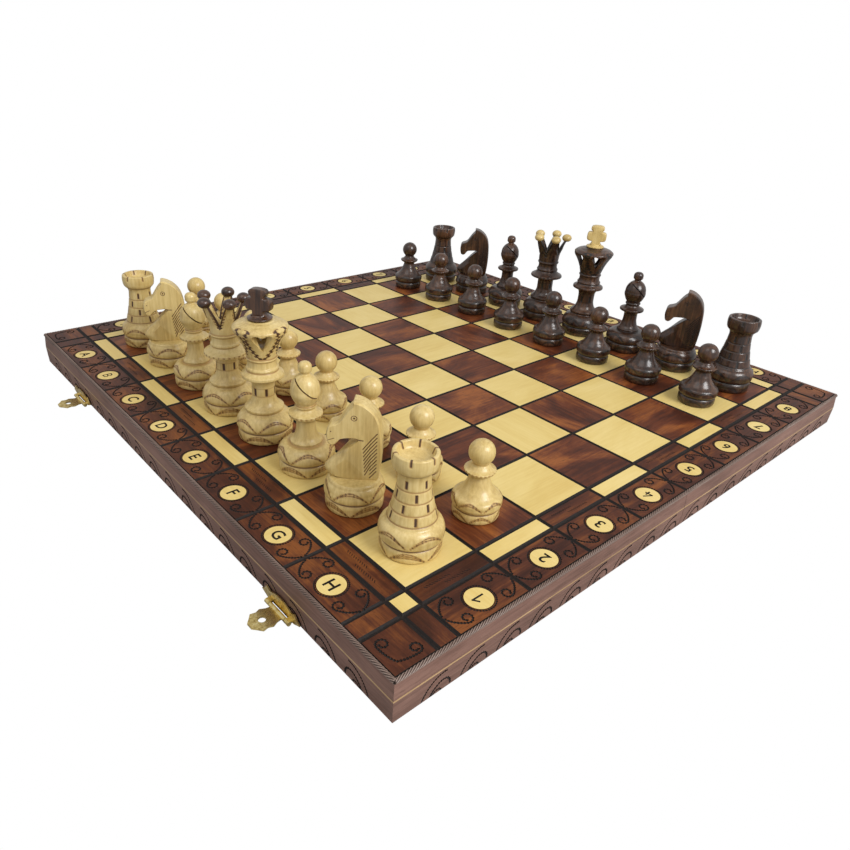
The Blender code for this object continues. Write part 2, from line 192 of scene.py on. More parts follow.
def burnt_wood():
    n = Nodes("burnt_groove")
    soot = n.noise(n.attribute("grain", "Vector"), 900.0, 4.0, 0.65)
    color = n.ramp(soot, [(0.35, (0.007, 0.006, 0.006)), (0.6, (0.016, 0.011, 0.009)),
                          (0.78, (0.04, 0.024, 0.015))])
    n.bump(soot, 0.5, 0.0004)
    n.set(Specular_IOR_Level=0.25)
    return n.set(Base_Color=color, Roughness=n.spread(soot, 0.3, 0.7, 0.55, 0.8))


def brass_metal():
    n = Nodes("aged_brass")
    place = n.own_place()
    worn = n.noise(place, 420.0, 5.0, 0.6)
    scratches = n.noise(place, 900.0, 3.0, 0.6, stretch=6.0)
    color = n.ramp(worn, [(0.3, (0.40, 0.27, 0.08)), (0.5, (0.80, 0.62, 0.24)), (0.7, (0.93, 0.78, 0.40))])
    n.bump(scratches, 0.12, 0.0002)
    n.set(Metallic=1.0)
    return n.set(Base_Color=color, Roughness=n.spread(worn, 0.3, 0.7, 0.34, 0.17))


def felt_cloth():
    n = Nodes("green_felt")
    place = n.own_place()
    tufts = n.noise(place, 900.0, 6.0, 0.7)
    patches = n.noise(place, 26.0, 3.0, 0.5)
    color = n.ramp(n.weighted(tufts, 0.6, patches, 0.4), [
        (0.36, (0.012, 0.055, 0.028)), (0.52, (0.025, 0.105, 0.055)), (0.68, (0.05, 0.17, 0.095))])
    n.bump(tufts, 0.6, 0.0008)
    n.set(Sheen_Weight=0.35, Sheen_Roughness=0.5)
    return n.set(Base_Color=color, Roughness=0.95)


MAHOGANY = wood("stained_birch", (0.050, 0.012, 0.005), (0.120, 0.030, 0.010), (0.27, 0.085, 0.020),
                (0.030, 0.95), 0.42, shine=0.25)
BORDER_STAIN = wood("stained_border", (0.036, 0.009, 0.004), (0.080, 0.021, 0.008), (0.20, 0.062, 0.014),
                    (0.030, 0.95), 0.42, shine=0.25)
MAPLE = wood("pale_maple", (0.63, 0.45, 0.14), (0.70, 0.53, 0.19), (0.76, 0.595, 0.245), (0.045, 0.6), 0.40,
             burn=(0.05, 0.022, 0.010), streaks=0.3, fine=0.25, shine=0.3)
AMBER = wood("amber_inlay", (0.30, 0.18, 0.08), (0.44, 0.28, 0.13), (0.54, 0.36, 0.18), (0.045, 0.6), 0.40,
             streaks=0.3, shine=0.3)
RAIL_TONES = ((0.125, 0.064, 0.046), (0.195, 0.104, 0.078), (0.26, 0.145, 0.110))
RAIL_FIGURE = (0.05, 0.6)
RAIL_WOOD = wood("rail_walnut_stain", *RAIL_TONES, RAIL_FIGURE, 0.48, streaks=0.5, shine=0.25)
RAIL_PLAIN = wood("rail_walnut_plain", *RAIL_TONES, RAIL_FIGURE, 0.48, streaks=0.5, shine=0.25,
                  from_object=True)
# The rope's wood is partly painted highlight: the rail's stained wood, made lighter and greyer to stand in
# for the light its strands catch
ROPE_WOOD_PAINTED_HIGHLIGHT = wood("rail_rope_painted_highlight", (0.13, 0.085, 0.066), (0.23, 0.16, 0.13), (0.33, 0.25, 0.215), RAIL_FIGURE,
                 0.42, streaks=0.5, shine=0.35)
SCORCH = (0.055, 0.022, 0.008)
CHAR = (0.006, 0.004, 0.003)
PALE_MEN = wood("pale_hornbeam", (0.47, 0.32, 0.105), (0.61, 0.45, 0.17), (0.72, 0.56, 0.25), (0.02, 0.55),
                0.36, coat=0.2, burn=SCORCH, toast=(0.42, 0.25, 0.08), streaks=0.45, fine=0.3)
TOASTED = wood("toasted_cut", (0.10, 0.05, 0.018), (0.20, 0.11, 0.04), (0.34, 0.20, 0.08), (0.02, 0.5), 0.5,
               burn=SCORCH, streaks=0.4)
DARK_MEN = wood("dark_walnut_stain", (0.018, 0.008, 0.005), (0.048, 0.020, 0.010), (0.115, 0.050, 0.022),
                (0.018, 0.7), 0.30, coat=0.4, burn=CHAR, streaks=0.6)
SOOTED = wood("dark_cut", (0.010, 0.006, 0.004), (0.020, 0.010, 0.007), (0.035, 0.018, 0.010), (0.02, 0.6),
              0.5, burn=CHAR, streaks=0.4)
BURNT = burnt_wood()
BRASS = brass_metal()
FELT = felt_cloth()

# Material slots of the board's pieces, in the order of WOODS
STAINED, GROUND, PALE, CORE = range(4)
WOODS = [MAHOGANY, BURNT, MAPLE, RAIL_WOOD]
BORDER_WOODS = [BORDER_STAIN] + WOODS[1:]
# Body, burnt cut and contrast woods of each army
MAN_WOODS = {"white": [PALE_MEN, TOASTED, DARK_MEN], "black": [DARK_MEN, SOOTED, PALE_MEN]}


# ------------------------------------------------------------------ mesh helpers


def new_mesh(name, points, faces, slots, materials):
    mesh = bpy.data.meshes.new(name)
    mesh.from_pydata(np.asarray(points).tolist(), [], faces)
    for made in materials:
        mesh.materials.append(made)
    mesh.polygons.foreach_set("material_index", np.array(slots, np.int32))
    return mesh


def new_object(name, data):
    item = bpy.data.objects.new(name, data)
    bpy.context.scene.collection.objects.link(item)
    return item


class Shape:
    """Gathers parts of one piece with their materials, grain coordinates and burn marks."""

    def __init__(self):
        self.points, self.faces, self.slots, self.grain, self.burn, self.smooth = [], [], [], [], [], []

    def add(self, points, faces, slots, grain="x", burn=0.0, smooth=False):
        """points is (n, 3). grain names the axis that the grain runs along, or is an (n, 3) array."""
        start = sum(len(p) for p in self.points)
        self.points.append(points)
        self.faces += [tuple(i + start for i in face) for face in faces]
        self.slots += list(slots) if hasattr(slots, "__len__") else [slots] * len(faces)
        self.smooth += [smooth] * len(faces)
        self.grain.append(grain_of(points, grain) if isinstance(grain, str) else grain)
        self.burn.append(np.broadcast_to(np.asarray(burn, float), len(points)))

    def build(self, name, materials, location=(0, 0, 0), turn=0.0):
        mesh = new_mesh(name, np.concatenate(self.points), self.faces, self.slots, materials)
        mesh.polygons.foreach_set("use_smooth", np.array(self.smooth, bool))
        mesh.attributes.new("grain", "FLOAT_VECTOR", "POINT").data.foreach_set(
            "vector", np.concatenate(self.grain).astype(np.float32).ravel())
        mesh.attributes.new("burn", "FLOAT", "POINT").data.foreach_set(
            "value", np.concatenate(self.burn).astype(np.float32))
        mesh.update()
        item = new_object(name, mesh)
        item.location = location
        item.rotation_euler.z = turn
        return item


def random_shift():
    return np.array([rng.uniform(0, 3) for _ in range(3)])


def grain_of(points, axis):
    """Grain coordinates of points whose grain runs along an axis, shifted by a random amount."""
    order = {"x": (0, 1, 2), "y": (1, 0, 2), "z": (2, 0, 1)}[axis]
    return points[:, order] + random_shift()


def placed(points, angle=0.0, offset=(0, 0, 0)):
    """Points turned about Z, then moved."""
    c, s = math.cos(angle), math.sin(angle)
    return points @ np.array([[c, s, 0], [-s, c, 0], [0, 0, 1]]) + np.array(offset)


def stack(rings, cyclic=False):
    """A closed skin through rings of equal count; without cyclic, the first and last ring are capped."""
    rings = np.asarray(rings, float)
    levels, count = rings.shape[:2]
    faces = []
    for level in range(levels if cyclic else levels - 1):
        a, b = level * count, (level + 1) % levels * count
        faces += [(a + i, a + (i + 1) % count, b + (i + 1) % count, b + i) for i in range(count)]
    if not cyclic:
        faces.append(tuple(range(count - 1, -1, -1)))
        faces.append(tuple((levels - 1) * count + i for i in range(count)))
    return rings.reshape(-1, 3), faces


def box_ring(low, high, z):
    """The corners of a rectangle at a height."""
    return [(low[0], low[1], z), (high[0], low[1], z), (high[0], high[1], z), (low[0], high[1], z)]


def veneer(low, high, insets, face_slot=STAINED):
    """A closed tile with its top at zero, drawn in by insets (left, right, near, far) and wider below."""
    left, right, front, back = insets
    rings = []
    for z, share in ((-SKIN, TILE_SLOPE), (-GROOVE, TILE_SLOPE), (0.0, 1.0)):
        rings.append(box_ring((low[0] + left * share, low[1] + front * share),
                              (high[0] - right * share, high[1] - back * share), z))
    points, faces = stack(rings)
    return points, faces, [GROUND] * (len(faces) - 1) + [face_slot]


def sweep(path, radii, sides=6, cyclic=False):
    """A tube through 2-D path points at height zero, with a radius at each."""
    ahead = np.roll(path, -1, 0) - np.roll(path, 1, 0)
    if not cyclic:
        ahead[0], ahead[-1] = path[1] - path[0], path[-1] - path[-2]
    ahead /= np.linalg.norm(ahead, axis=1)[:, None]
    across = np.stack([ahead[:, 1], -ahead[:, 0]], 1)
    turns = (np.arange(sides) + 0.5) * TAU / sides
    radii = np.broadcast_to(np.asarray(radii, float), len(path))
    rings = np.zeros((len(path), sides, 3))
    rings[:, :, :2] = path[:, None] + across[:, None] * (np.cos(turns)[:, None] * radii[:, None, None])
    rings[:, :, 2] = np.sin(turns) * radii[:, None]
    return stack(rings, cyclic)


def tool_mesh(points, faces, slots, materials):
    """A mesh fit for cutting: no many-sided faces, and normals that point outwards."""
    mesh = new_mesh("tool", points, faces, slots, materials)
    shape = bmesh.new()
    shape.from_mesh(mesh)
    bmesh.ops.triangulate(shape, faces=[f for f in shape.faces if len(f.verts) > 4])
    bmesh.ops.recalc_face_normals(shape, faces=shape.faces)
    shape.to_mesh(mesh)
    shape.free()
    return mesh


def made_mesh(item):
    """The mesh that an object's modifiers or text make."""
    bpy.context.view_layer.update()
    return bpy.data.meshes.new_from_object(item.evaluated_get(bpy.context.evaluated_depsgraph_get()))


def read_mesh(mesh):
    return np.array([v.co for v in mesh.vertices]), [tuple(p.vertices) for p in mesh.polygons]


def carved(points, faces, slots, cutters, materials, groove_slot=GROUND):
    """Cuts closed (points, faces) shapes out of a solid; returns its new points, faces and slots."""
    base = new_object("carving", tool_mesh(points, faces, slots, materials))
    tools = []
    for cut_points, cut_faces in cutters:
        tools.append(new_object("tool", tool_mesh(cut_points, cut_faces, [groove_slot] * len(cut_faces),
                                                  materials)))
        step = base.modifiers.new("cut", "BOOLEAN")
        step.operation = "DIFFERENCE"
        step.solver = "EXACT"
        step.material_mode = "INDEX"
        step.object = tools[-1]
    made = made_mesh(base)
    new_points, new_faces = read_mesh(made)
    new_slots = [p.material_index for p in made.polygons]
    for item in [base, *tools]:
        bpy.data.objects.remove(item)
    bpy.data.meshes.remove(made)
    return new_points, new_faces, new_slots


def carved_man(points, faces, cutters, groove_slot=1):
    """The same for a chessman's part, which is in millimetres."""
    points, faces, slots = carved(points * MM, faces, [0] * len(faces), [(p * MM, f) for p, f in cutters],
                                  MAN_WOODS["white"], groove_slot)
    return points / MM, faces, slots


# ------------------------------------------------------------------ burnt ornament

# A scroll is the start of its arm, the middle of its curl, the curl's first and last radius, its first angle
# and sweep, and how far the arm's control point is pulled back, in millimetres and degrees
CELL_SCROLL = ((25.3, 0.6), (15.3, 7.2), 3.6, 1.7, 62, 380, 7.5)
CORNER_SCROLL = ((7.2, -7.2), (-5.4, -6.0), 3.6, 1.6, -90, -400, 8.0)
SCROLL_WIDTH = 1.9 * MM
SCROLL_PITCH = 1.7 * MM
CURL_STEPS = 64
ARM_STEPS = 40
# Ticks of the dark strip tiles, in millimetres: (start, height) of each row
HASH_ROWS = ((-17.0, 1.7), (-5.0, -1.9))
HASH_TICKS = 10
HASH_PITCH = 1.9
HASH_REACH = np.array([0.7, -0.75])


def bezier(start, control, end, count):
    t = np.linspace(0, 1, count)[:, None]
    return (1 - t) ** 2 * start + 2 * t * (1 - t) * control + t ** 2 * end


def scroll_path(start, center, first_r, last_r, first_angle, sweep_angle, pull):
    """An arm from start that runs into a spiral about center, in metres."""
    first = math.radians(first_angle)
    angles = first + np.linspace(0, math.radians(sweep_angle), CURL_STEPS)
    radii = np.linspace(first_r, last_r, CURL_STEPS)
    spiral = np.array(center) + np.stack([np.cos(angles), np.sin(angles)], 1) * radii[:, None]
    tangent = np.array([-math.sin(first), math.cos(first)]) * math.copysign(1.0, sweep_angle)
    arm = bezier(np.array(start), spiral[0] - tangent * pull, spiral[0], ARM_STEPS)
    return np.concatenate([arm[:-1], spiral]) * MM


def evenly(path, step):
    """A path resampled at an even step, and the distance along it of each point."""
    path = np.asarray(path, float)
    gaps = np.linalg.norm(np.diff(path, axis=0), axis=1)
    along = np.concatenate([[0], np.cumsum(gaps)])
    places = np.linspace(0, along[-1], max(int(along[-1] / step), 4))
    return np.stack([np.interp(places, along, path[:, i]) for i in range(2)], 1), places


def stroke(path, step, radius, sides=6, cyclic=False):
    """The cutter of a plain line; a cyclic path ends where it starts."""
    path = evenly(path, step)[0]
    return sweep(path[:-1] if cyclic else path, radius, sides, cyclic)


def beaded(path, width, pitch, cyclic=False):
    """The cutter of a line rolled with a toothed wheel: its width swells at every tooth."""
    path, places = evenly(path, pitch / 4)
    if cyclic:
        path, places = path[:-1], places[:-1]
        pitch = places[-1] * len(places) / (len(places) - 1) / round(places[-1] / pitch)
    return sweep(path, width / 2 * (0.26 + 0.80 * np.abs(np.sin(np.pi * places / pitch))), cyclic=cyclic)


def circle(radius, count=96):
    """A closed path whose last point repeats the first."""
    angles = np.linspace(0, TAU, count)
    return np.stack([np.cos(angles), np.sin(angles)], 1) * radius


def round_plug(radius, low, high, sides=48):
    ring = circle(radius, sides + 1)[:-1]
    return stack([np.column_stack([ring, np.full(sides, z)]) for z in (low, high)])


def border_scrolls():
    """Four scrolls of a lettered cell, whose arms meet those of the next cell at the middle of its ends."""
    path = scroll_path(*CELL_SCROLL)
    return [beaded(path * np.array([sx, sy]), SCROLL_WIDTH, SCROLL_PITCH) for sx in (-1, 1) for sy in (-1, 1)]


def corner_scroll():
    """A bracket with a curl at each end, symmetric about the corner's diagonal."""
    half = scroll_path(*CORNER_SCROLL)
    return [beaded(np.concatenate([half[::-1], -half[1:, ::-1]]), SCROLL_WIDTH, SCROLL_PITCH)]


def hash_marks():
    """Two offset rows of slanted ticks."""
    cutters = []
    for start, height in HASH_ROWS:
        for i in range(HASH_TICKS):
            middle = np.array([start + i * HASH_PITCH, height])
            tick = np.array([middle - HASH_REACH, middle + HASH_REACH]) * MM
            cutters.append(stroke(tick, 0.5 * MM, 0.32 * MM))
    return cutters


# ------------------------------------------------------------------ board top


def is_light(file_index, rank_index):
    return (file_index + rank_index) % 2 == 1


def cell_middle(index):
    return (GRID[index] + GRID[index + 1]) / 2


def half_ranks(side):
    return range(4) if side < 0 else range(4, 8)


def cell_line(step):
    """Half the width of the burnt line at a step of the grid, wider at the field's frame."""
    return FRAME_LINE if step in (0, 8) else FIELD_LINE


def add_tile(shape, tile, grain, angle=0.0, place=(0.0, 0.0)):
    points, faces, slots = tile
    shape.add(placed(points, angle, (place[0], place[1] + FOLD_Y, TOP)), faces, slots, grain)


def base_plate(shape, low, high):
    """The panel's core, whose burnt top shows at the bottom of the grooves between tiles."""
    points, faces = stack([box_ring((low[0], low[1] + FOLD_Y), (high[0], high[1] + FOLD_Y), z)
                           for z in (PANEL_LOW.z, TOP - GROOVE)])
    shape.add(points, faces, [CORE] * (len(faces) - 1) + [GROUND])


def build_field(colour, side):
    """The 32 squares of a half and the ground under them."""
    shape = Shape()
    edge = sorted((side * SEAM, side * FIELD_HALF))
    base_plate(shape, (-FIELD_HALF, edge[0]), (FIELD_HALF, edge[1]))
    for rank in half_ranks(side):
        front = GRID[rank] + SEAM * (rank == 4)
        back = GRID[rank + 1] - SEAM * (rank == 3)
        for i in range(8):
            insets = [cell_line(step) for step in (i, i + 1, rank, rank + 1)]
            face_slot = PALE if is_light(i, rank) else STAINED
            tile = veneer((GRID[i], front), (GRID[i + 1], back), insets, face_slot)
            add_tile(shape, tile, rng.choice("yyx"))
    field = shape.build(f"field_{colour}", WOODS)
    return field


def cell_tile(length, width, insets, cutters):
    """A carved tile centred on the origin with its top at zero."""
    return carved(*veneer((-length / 2, -width / 2), (length / 2, width / 2), insets), cutters, WOODS)


BORDER_WIDTH = BEAD_EDGE - STRIP_EDGE
STRIP_INSETS = (FRAME_LINE, FRAME_LINE, STRIP_LINE, FRAME_LINE)
SEAT_POINTS, SEAT_FACES = round_plug(DISC_SEAT_R, -GROOVE, MM)
DISC_SEAT = (SEAT_POINTS - np.array([0, DISC_OUT, 0]), SEAT_FACES)
DOT_RING = beaded(circle(DOT_RING_R) - np.array([0, DISC_OUT]), 1.5 * MM, 1.6 * MM, cyclic=True)
LETTER_TILE = cell_tile(SQUARE, BORDER_WIDTH, (FRAME_LINE, FRAME_LINE, BEAD_LINE, STRIP_LINE),
                        border_scrolls() + [DOT_RING, DISC_SEAT])
CORNER_TILE = cell_tile(BORDER_WIDTH, BORDER_WIDTH, (STRIP_LINE, BEAD_LINE, BEAD_LINE, STRIP_LINE),
                        corner_scroll())
HASH_TILE = cell_tile(SQUARE, STRIP, STRIP_INSETS, hash_marks())
PALE_TILE = veneer((-SQUARE / 2, -STRIP / 2), (SQUARE / 2, STRIP / 2), STRIP_INSETS, PALE)

# Numbers that are written unlike the font's, as strokes in millimetres
GLYPH_STROKES = {
    "1": [[(-2.4, 1.4), (1.2, 3.9)], [(1.0, 4.4), (1.0, -4.0)]],
    "4": [[(0.9, 4.2), (-2.6, -1.5)], [(-3.0, -1.4), (2.7, -1.4)], [(0.9, 1.0), (0.9, -4.0)]],
}
STROKE_R = 0.65 * MM
GLYPH_SIZE = 11.2 * MM
GLYPH_THICKEN = 0.22 * MM
# The font's outline of this letter crosses itself when thickened
UNTHICKENED = "B"


def glyph_cutter(glyph):
    """The closed shape of a letter or number about 8 mm high, reaching below the disc's top."""
    curve = bpy.data.curves.new("glyph", "FONT")
    curve.body = glyph
    curve.size = GLYPH_SIZE
    curve.offset = 0.0 if glyph == UNTHICKENED else GLYPH_THICKEN
    curve.extrude = 0.5 * MM
    curve.resolution_u = 3
    item = new_object("glyph", curve)
    mesh = made_mesh(item)
    bpy.data.objects.remove(item)
    shape = bmesh.new()
    shape.from_mesh(mesh)
    bmesh.ops.remove_doubles(shape, verts=shape.verts, dist=0.003 * MM)
    shape.to_mesh(mesh)
    shape.free()
    points, faces = read_mesh(mesh)
    points[:, :2] -= (points[:, :2].min(0) + points[:, :2].max(0)) / 2
    return points, faces


def disc_tile(glyph):
    points, faces = round_plug(DISC_R, -SKIN, 0.0)
    if glyph in GLYPH_STROKES:
        cutters = [stroke(np.array(line) * MM, 0.4 * MM, STROKE_R, 8) for line in GLYPH_STROKES[glyph]]
    else:
        cutters = [glyph_cutter(glyph)]
    return carved(points, faces, [GROUND] * (len(faces) - 1) + [PALE], cutters, WOODS)


DISC_TILES = {glyph: disc_tile(glyph) for glyph in "ABCDEFGH12345678"}


def add_border_run(shape, angle, cells, glyph_angle):
    """Strip and lettered cells along one side; cells is [(glyph, place along, strip is light)]."""
    grain = "x" if abs(math.sin(angle)) < 0.5 else "y"
    disc_shift = placed(np.array([0.0, -DISC_OUT, 0.0]), angle)
    for glyph, along, light in cells:
        cell = placed(np.array([along, -(STRIP_EDGE + BEAD_EDGE) / 2, 0.0]), angle)
        add_tile(shape, LETTER_TILE, grain, angle, cell)
        add_tile(shape, DISC_TILES[glyph], rng.choice("xy"), glyph_angle, cell + disc_shift)
        strip = placed(np.array([along, -(FIELD_HALF + STRIP_EDGE) / 2, 0.0]), angle)
        add_tile(shape, PALE_TILE if light else HASH_TILE, grain, angle, strip)


def finish_border(shape, name):
    border = shape.build(name, BORDER_WOODS)
    return border


def build_outer_border(colour, side):
    """The border along the a-h side of a half, between the two corners."""
    shape = Shape()
    angle, rank = (0.0, 0) if side < 0 else (math.pi, 7)
    edge = sorted((side * FIELD_HALF, side * BEAD_EDGE))
    base_plate(shape, (-FIELD_HALF, edge[0]), (FIELD_HALF, edge[1]))
    cells = [(FILES[i].upper(), -side * cell_middle(i), not is_light(i, rank)) for i in range(8)]
    add_border_run(shape, angle, cells, angle)
    return finish_border(shape, f"border_{colour}_outer")


def build_end_border(colour, side, end, name):
    """The numbered border of a half at the a side (end -1) or the h side (end +1), with its corner."""
    shape = Shape()
    across = sorted((end * FIELD_HALF, end * BEAD_EDGE))
    along = sorted((side * SEAM, side * BEAD_EDGE))
    base_plate(shape, (across[0], along[0]), (across[1], along[1]))
    file_index, glyph_angle = (0, 0.0) if end < 0 else (7, math.pi)
    cells = [(str(rank + 1), end * cell_middle(rank), not is_light(file_index, rank))
             for rank in half_ranks(side)]
    add_border_run(shape, math.pi / 2 * end, cells, glyph_angle)
    add_corner(shape, side, end)
    return finish_border(shape, f"border_{colour}_{name}")


def add_corner(shape, side, end):
    """The corner's strip square, the two plain tiles beside it and the scrolled corner tile."""
    spans = ((FIELD_HALF, STRIP_EDGE, FRAME_LINE, STRIP_LINE), (STRIP_EDGE, BEAD_EDGE, STRIP_LINE, BEAD_LINE))
    for column, row in ((0, 0), (0, 1), (1, 0)):
        x_near, x_far, x_in, x_out = spans[column]
        y_near, y_far, y_in, y_out = spans[row]
        xs, ys = sorted((end * x_near, end * x_far)), sorted((side * y_near, side * y_far))
        insets = (x_in, x_out)[::end] + (y_in, y_out)[::side]
        light = column == row and end * side < 0
        add_tile(shape, veneer((xs[0], ys[0]), (xs[1], ys[1]), insets, PALE if light else STAINED), "x")
    middle = (STRIP_EDGE + BEAD_EDGE) / 2
    turn = {(1, -1): 0.0, (1, 1): math.pi / 2, (-1, 1): math.pi, (-1, -1): -math.pi / 2}[(end, side)]
    add_tile(shape, CORNER_TILE, "x", turn, (end * middle, side * middle))


ENDS = ((-1, "left"), (1, "right"))

for colour, side in COLOURS:
    body = f"{colour}_half"
    field = build_field(colour, side)
    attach(field, body)
    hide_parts(f"panel_{colour}")
    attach(build_outer_border(colour, side), body)
    for end, name in ENDS:
        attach(build_end_border(colour, side, end, name), body)


# ------------------------------------------------------------------ turned chessmen

# Profiles are (radius, height) or (radius, height, bulge) in millimetres from the top down. The bulge is how
# far the arc that arrives at the point stands out from its chord.
FOOT = [(19.3, 12.4, 1.5), (17.8, 8.9, 0.6), (17.2, 8.3), (18.0, 7.6, 0.1), (18.5, 4.2, 0.3),
        (18.1, 0.5, 0.2), (17.6, 0.0), (0.0, 0.0)]
WIDE_FOOT = [(20.2, 12.4, 1.5), (18.8, 8.9, 0.7), (18.2, 8.3), (19.0, 7.6, 0.1), (19.4, 4.2, 0.3),
             (19.0, 0.5, 0.2), (18.5, 0.0), (0.0, 0.0)]
TALL_STEM = [(8.4, 42.6), (8.1, 41.0), (8.1, 32.6), (8.6, 30.8, -0.1), (12.6, 24.8, -0.8), (13.5, 24.0),
             (13.9, 23.1, 0.25), (13.6, 22.2, 0.2), (13.1, 21.6), (13.5, 20.6, -0.1)]
PAWN = [
    (0.0, 52.3), (8.2, 44.1, 2.4), (5.4, 37.9, 0.76), (5.0, 36.4, -0.1), (6.2, 35.2, -0.2), (9.6, 32.8, -0.5),
    (9.7, 31.4, 0.4), (7.2, 29.6, 0.2), (6.0, 29.0), (6.0, 28.2), (7.4, 24.0, -0.2), (10.6, 18.4, -0.4),
    (13.9, 15.2, -0.3), (15.8, 11.2, 0.9), (14.4, 7.4, 0.7), (13.9, 6.8), (14.6, 6.1, 0.1), (15.0, 3.2, 0.25),
    (14.6, 0.5, 0.2), (14.2, 0.0), (0.0, 0.0),
]
ROOK = [
    (0.0, 58.6), (7.0, 59.2, -0.3), (10.0, 61.4, -0.6), (10.8, 63.6), (11.6, 64.2, 0.2), (12.7, 64.1, 0.1),
    (13.2, 63.2, 0.2), (13.3, 57.6, 0.25), (12.4, 54.4, 0.2), (11.4, 53.5), (10.6, 52.6), (10.0, 52.0, -0.1),
    (9.4, 49.4, -0.1), (9.4, 48.2), (9.9, 43.0), (9.5, 42.6), (10.1, 42.2), (11.1, 36.0), (10.7, 35.6),
    (11.4, 35.2), (12.7, 29.0), (12.3, 28.6), (13.1, 28.2), (14.5, 22.9), (14.3, 22.3), (14.9, 21.8, 0.1),
    (15.6, 20.4),
] + FOOT
BISHOP = [
    (0.0, 76.7), (4.4, 72.4, 1.8), (3.3, 69.7, 0.6), (2.8, 69.1), (3.4, 68.3, -0.1), (9.6, 58.2, 1.7),
    (8.9, 52.6, 0.6), (6.6, 48.4, 0.3), (6.3, 47.4), (6.9, 46.8, 0.2), (6.9, 45.8, 0.2), (6.3, 45.2),
    (6.6, 43.8, -0.2), (10.7, 41.5, -0.3), (11.3, 40.4, 0.3), (10.6, 39.1, 0.3), (6.8, 37.0, -0.4),
    (6.3, 36.0), (6.4, 31.0), (7.6, 25.6, -0.2), (9.6, 22.2, -0.3), (10.4, 21.5), (10.7, 20.6, 0.2),
    (10.3, 19.8, 0.1), (10.8, 19.2), (19.3, 12.4, 2.2),
] + FOOT[1:]
KNIGHT_FOOT = [(0.0, 20.8), (15.0, 20.8), (16.0, 20.2, 0.2), (16.5, 18.8, 0.2), (18.6, 14.2, 0.5),
               (19.2, 11.6, 0.2)] + FOOT[1:]
QUEEN = [
    (0.0, 70.5), (5.0, 71.6, -0.5), (9.0, 75.6, -0.6), (14.2, 86.2, -0.4), (15.2, 86.8, 0.2),
    (16.4, 86.2, 0.2), (13.0, 76.0, -0.5), (10.3, 64.0, -0.7), (10.0, 62.2), (10.6, 61.6, 0.2),
    (10.6, 60.4, 0.2), (9.8, 59.8),
    (9.6, 57.5), (10.2, 54.6, -0.1), (10.9, 53.6, 0.2), (10.7, 52.5, 0.2), (10.1, 51.9), (15.3, 48.0, -0.4),
    (16.2, 46.7, 0.3), (15.6, 45.4, 0.4), (9.4, 43.0, -0.6),
] + TALL_STEM + WIDE_FOOT
KING = [
    (0.0, 88.5), (8.8, 88.3), (9.6, 87.7, 0.1), (14.0, 86.6, 0.3), (18.3, 84.5, 0.5), (19.0, 82.9, 0.4),
    (18.4, 80.6, 0.2), (10.4, 63.0, -1.0), (10.1, 62.2), (10.7, 61.6, 0.2), (10.7, 60.6, 0.2), (10.1, 60.0),
    (10.0, 57.8), (10.5, 54.8, -0.1), (11.4, 54.0, 0.2), (11.3, 52.9, 0.2), (10.8, 52.3), (14.2, 49.8, -0.2),
    (14.8, 48.5, 0.3), (14.2, 47.2, 0.4), (9.2, 44.4, -0.6),
] + TALL_STEM + WIDE_FOOT
FINIAL_FOOT = [(0.0, 3.4), (5.0, 3.4), (6.0, 2.6, -0.3), (8.3, 1.6, -0.2), (8.5, 0.7, 0.2), (8.3, 0.0),
               (0.0, 0.0)]

ROW_STEP = 0.5
STITCHES = 46
TURNED_SIDES = 112
PAWN_SIDES = 96
QUEEN_SIDES = 120
# The queen's crown in millimetres: five points above a height, the share of it that the rim sinks between
# them in each army, how far it leans out, and the width of its burnt edge
CROWN_POINTS = 5
CROWN_LOW = 67.0
CROWN_RIM = 86.8
CROWN_DEPTH = {"white": 0.88, "black": 0.70}
CROWN_SLOPE = 0.35
CROWN_EDGE = 5.0
# Ring radius and height of the crown balls' middles, and the balls' radius and half height
QUEEN_BALL = (15.4, 87.4, 4.9, 3.9)


def arc_points(start, end, bulge, step):
    """Points after start up to end, on a circular arc that stands out by bulge to the outer side."""
    chord = end - start
    length = math.hypot(*chord)
    count = max(int(length / step), 1)
    if abs(bulge) < 1e-3 or length < 1e-6:
        return [start + chord * (i + 1) / count for i in range(count)]
    along = chord / length
    out = np.array([-along[1], along[0]]) * math.copysign(1.0, bulge)
    radius = (length ** 2 / 4 + bulge ** 2) / (2 * abs(bulge))
    half = 2 * math.atan(2 * abs(bulge) / length)
    middle = (start + end) / 2 + out * (abs(bulge) - radius)
    count = max(count, int(half / 0.12))
    angles = -half + 2 * half * (np.arange(count) + 1) / count
    return [middle + radius * (math.sin(a) * along + math.cos(a) * out) for a in angles]


def fine_profile(profile, step):
    """The profile sampled finely, with its edges softened as sanding leaves them."""
    points = [np.array(profile[0][:2], float)]
    for entry in profile[1:]:
        bulge = entry[2] if len(entry) == 3 else 0.0
        points += arc_points(points[-1], np.array(entry[:2], float), bulge, step)
    points = np.array(points)
    soft = points.copy()
    soft[1:-1] = 0.25 * points[:-2] + 0.5 * points[1:-1] + 0.25 * points[2:]
    return soft


def lathe(profile, sides, step=ROW_STEP):
    """A closed turned surface in millimetres, with one point at each end."""
    rows = fine_profile(profile, step)
    inner = rows[1:-1]
    angles = np.arange(sides) * TAU / sides
    ring = np.zeros((len(inner), sides, 3))
    ring[:, :, 0] = inner[:, :1] * np.cos(angles)
    ring[:, :, 1] = inner[:, :1] * np.sin(angles)
    ring[:, :, 2] = inner[:, 1:2]
    points = np.concatenate([ring.reshape(-1, 3), [[0, 0, rows[0][1]], [0, 0, rows[-1][1]]]])
    faces = []
    for i in range(len(inner) - 1):
        a, b = i * sides, (i + 1) * sides
        faces += [(a + j, b + j, b + (j + 1) % sides, a + (j + 1) % sides) for j in range(sides)]
    top, bottom = len(points) - 2, len(points) - 1
    last = (len(inner) - 1) * sides
    for j in range(sides):
        k = (j + 1) % sides
        faces.append((top, j, k))
        faces.append((bottom, last + k, last + j))
    return points, faces


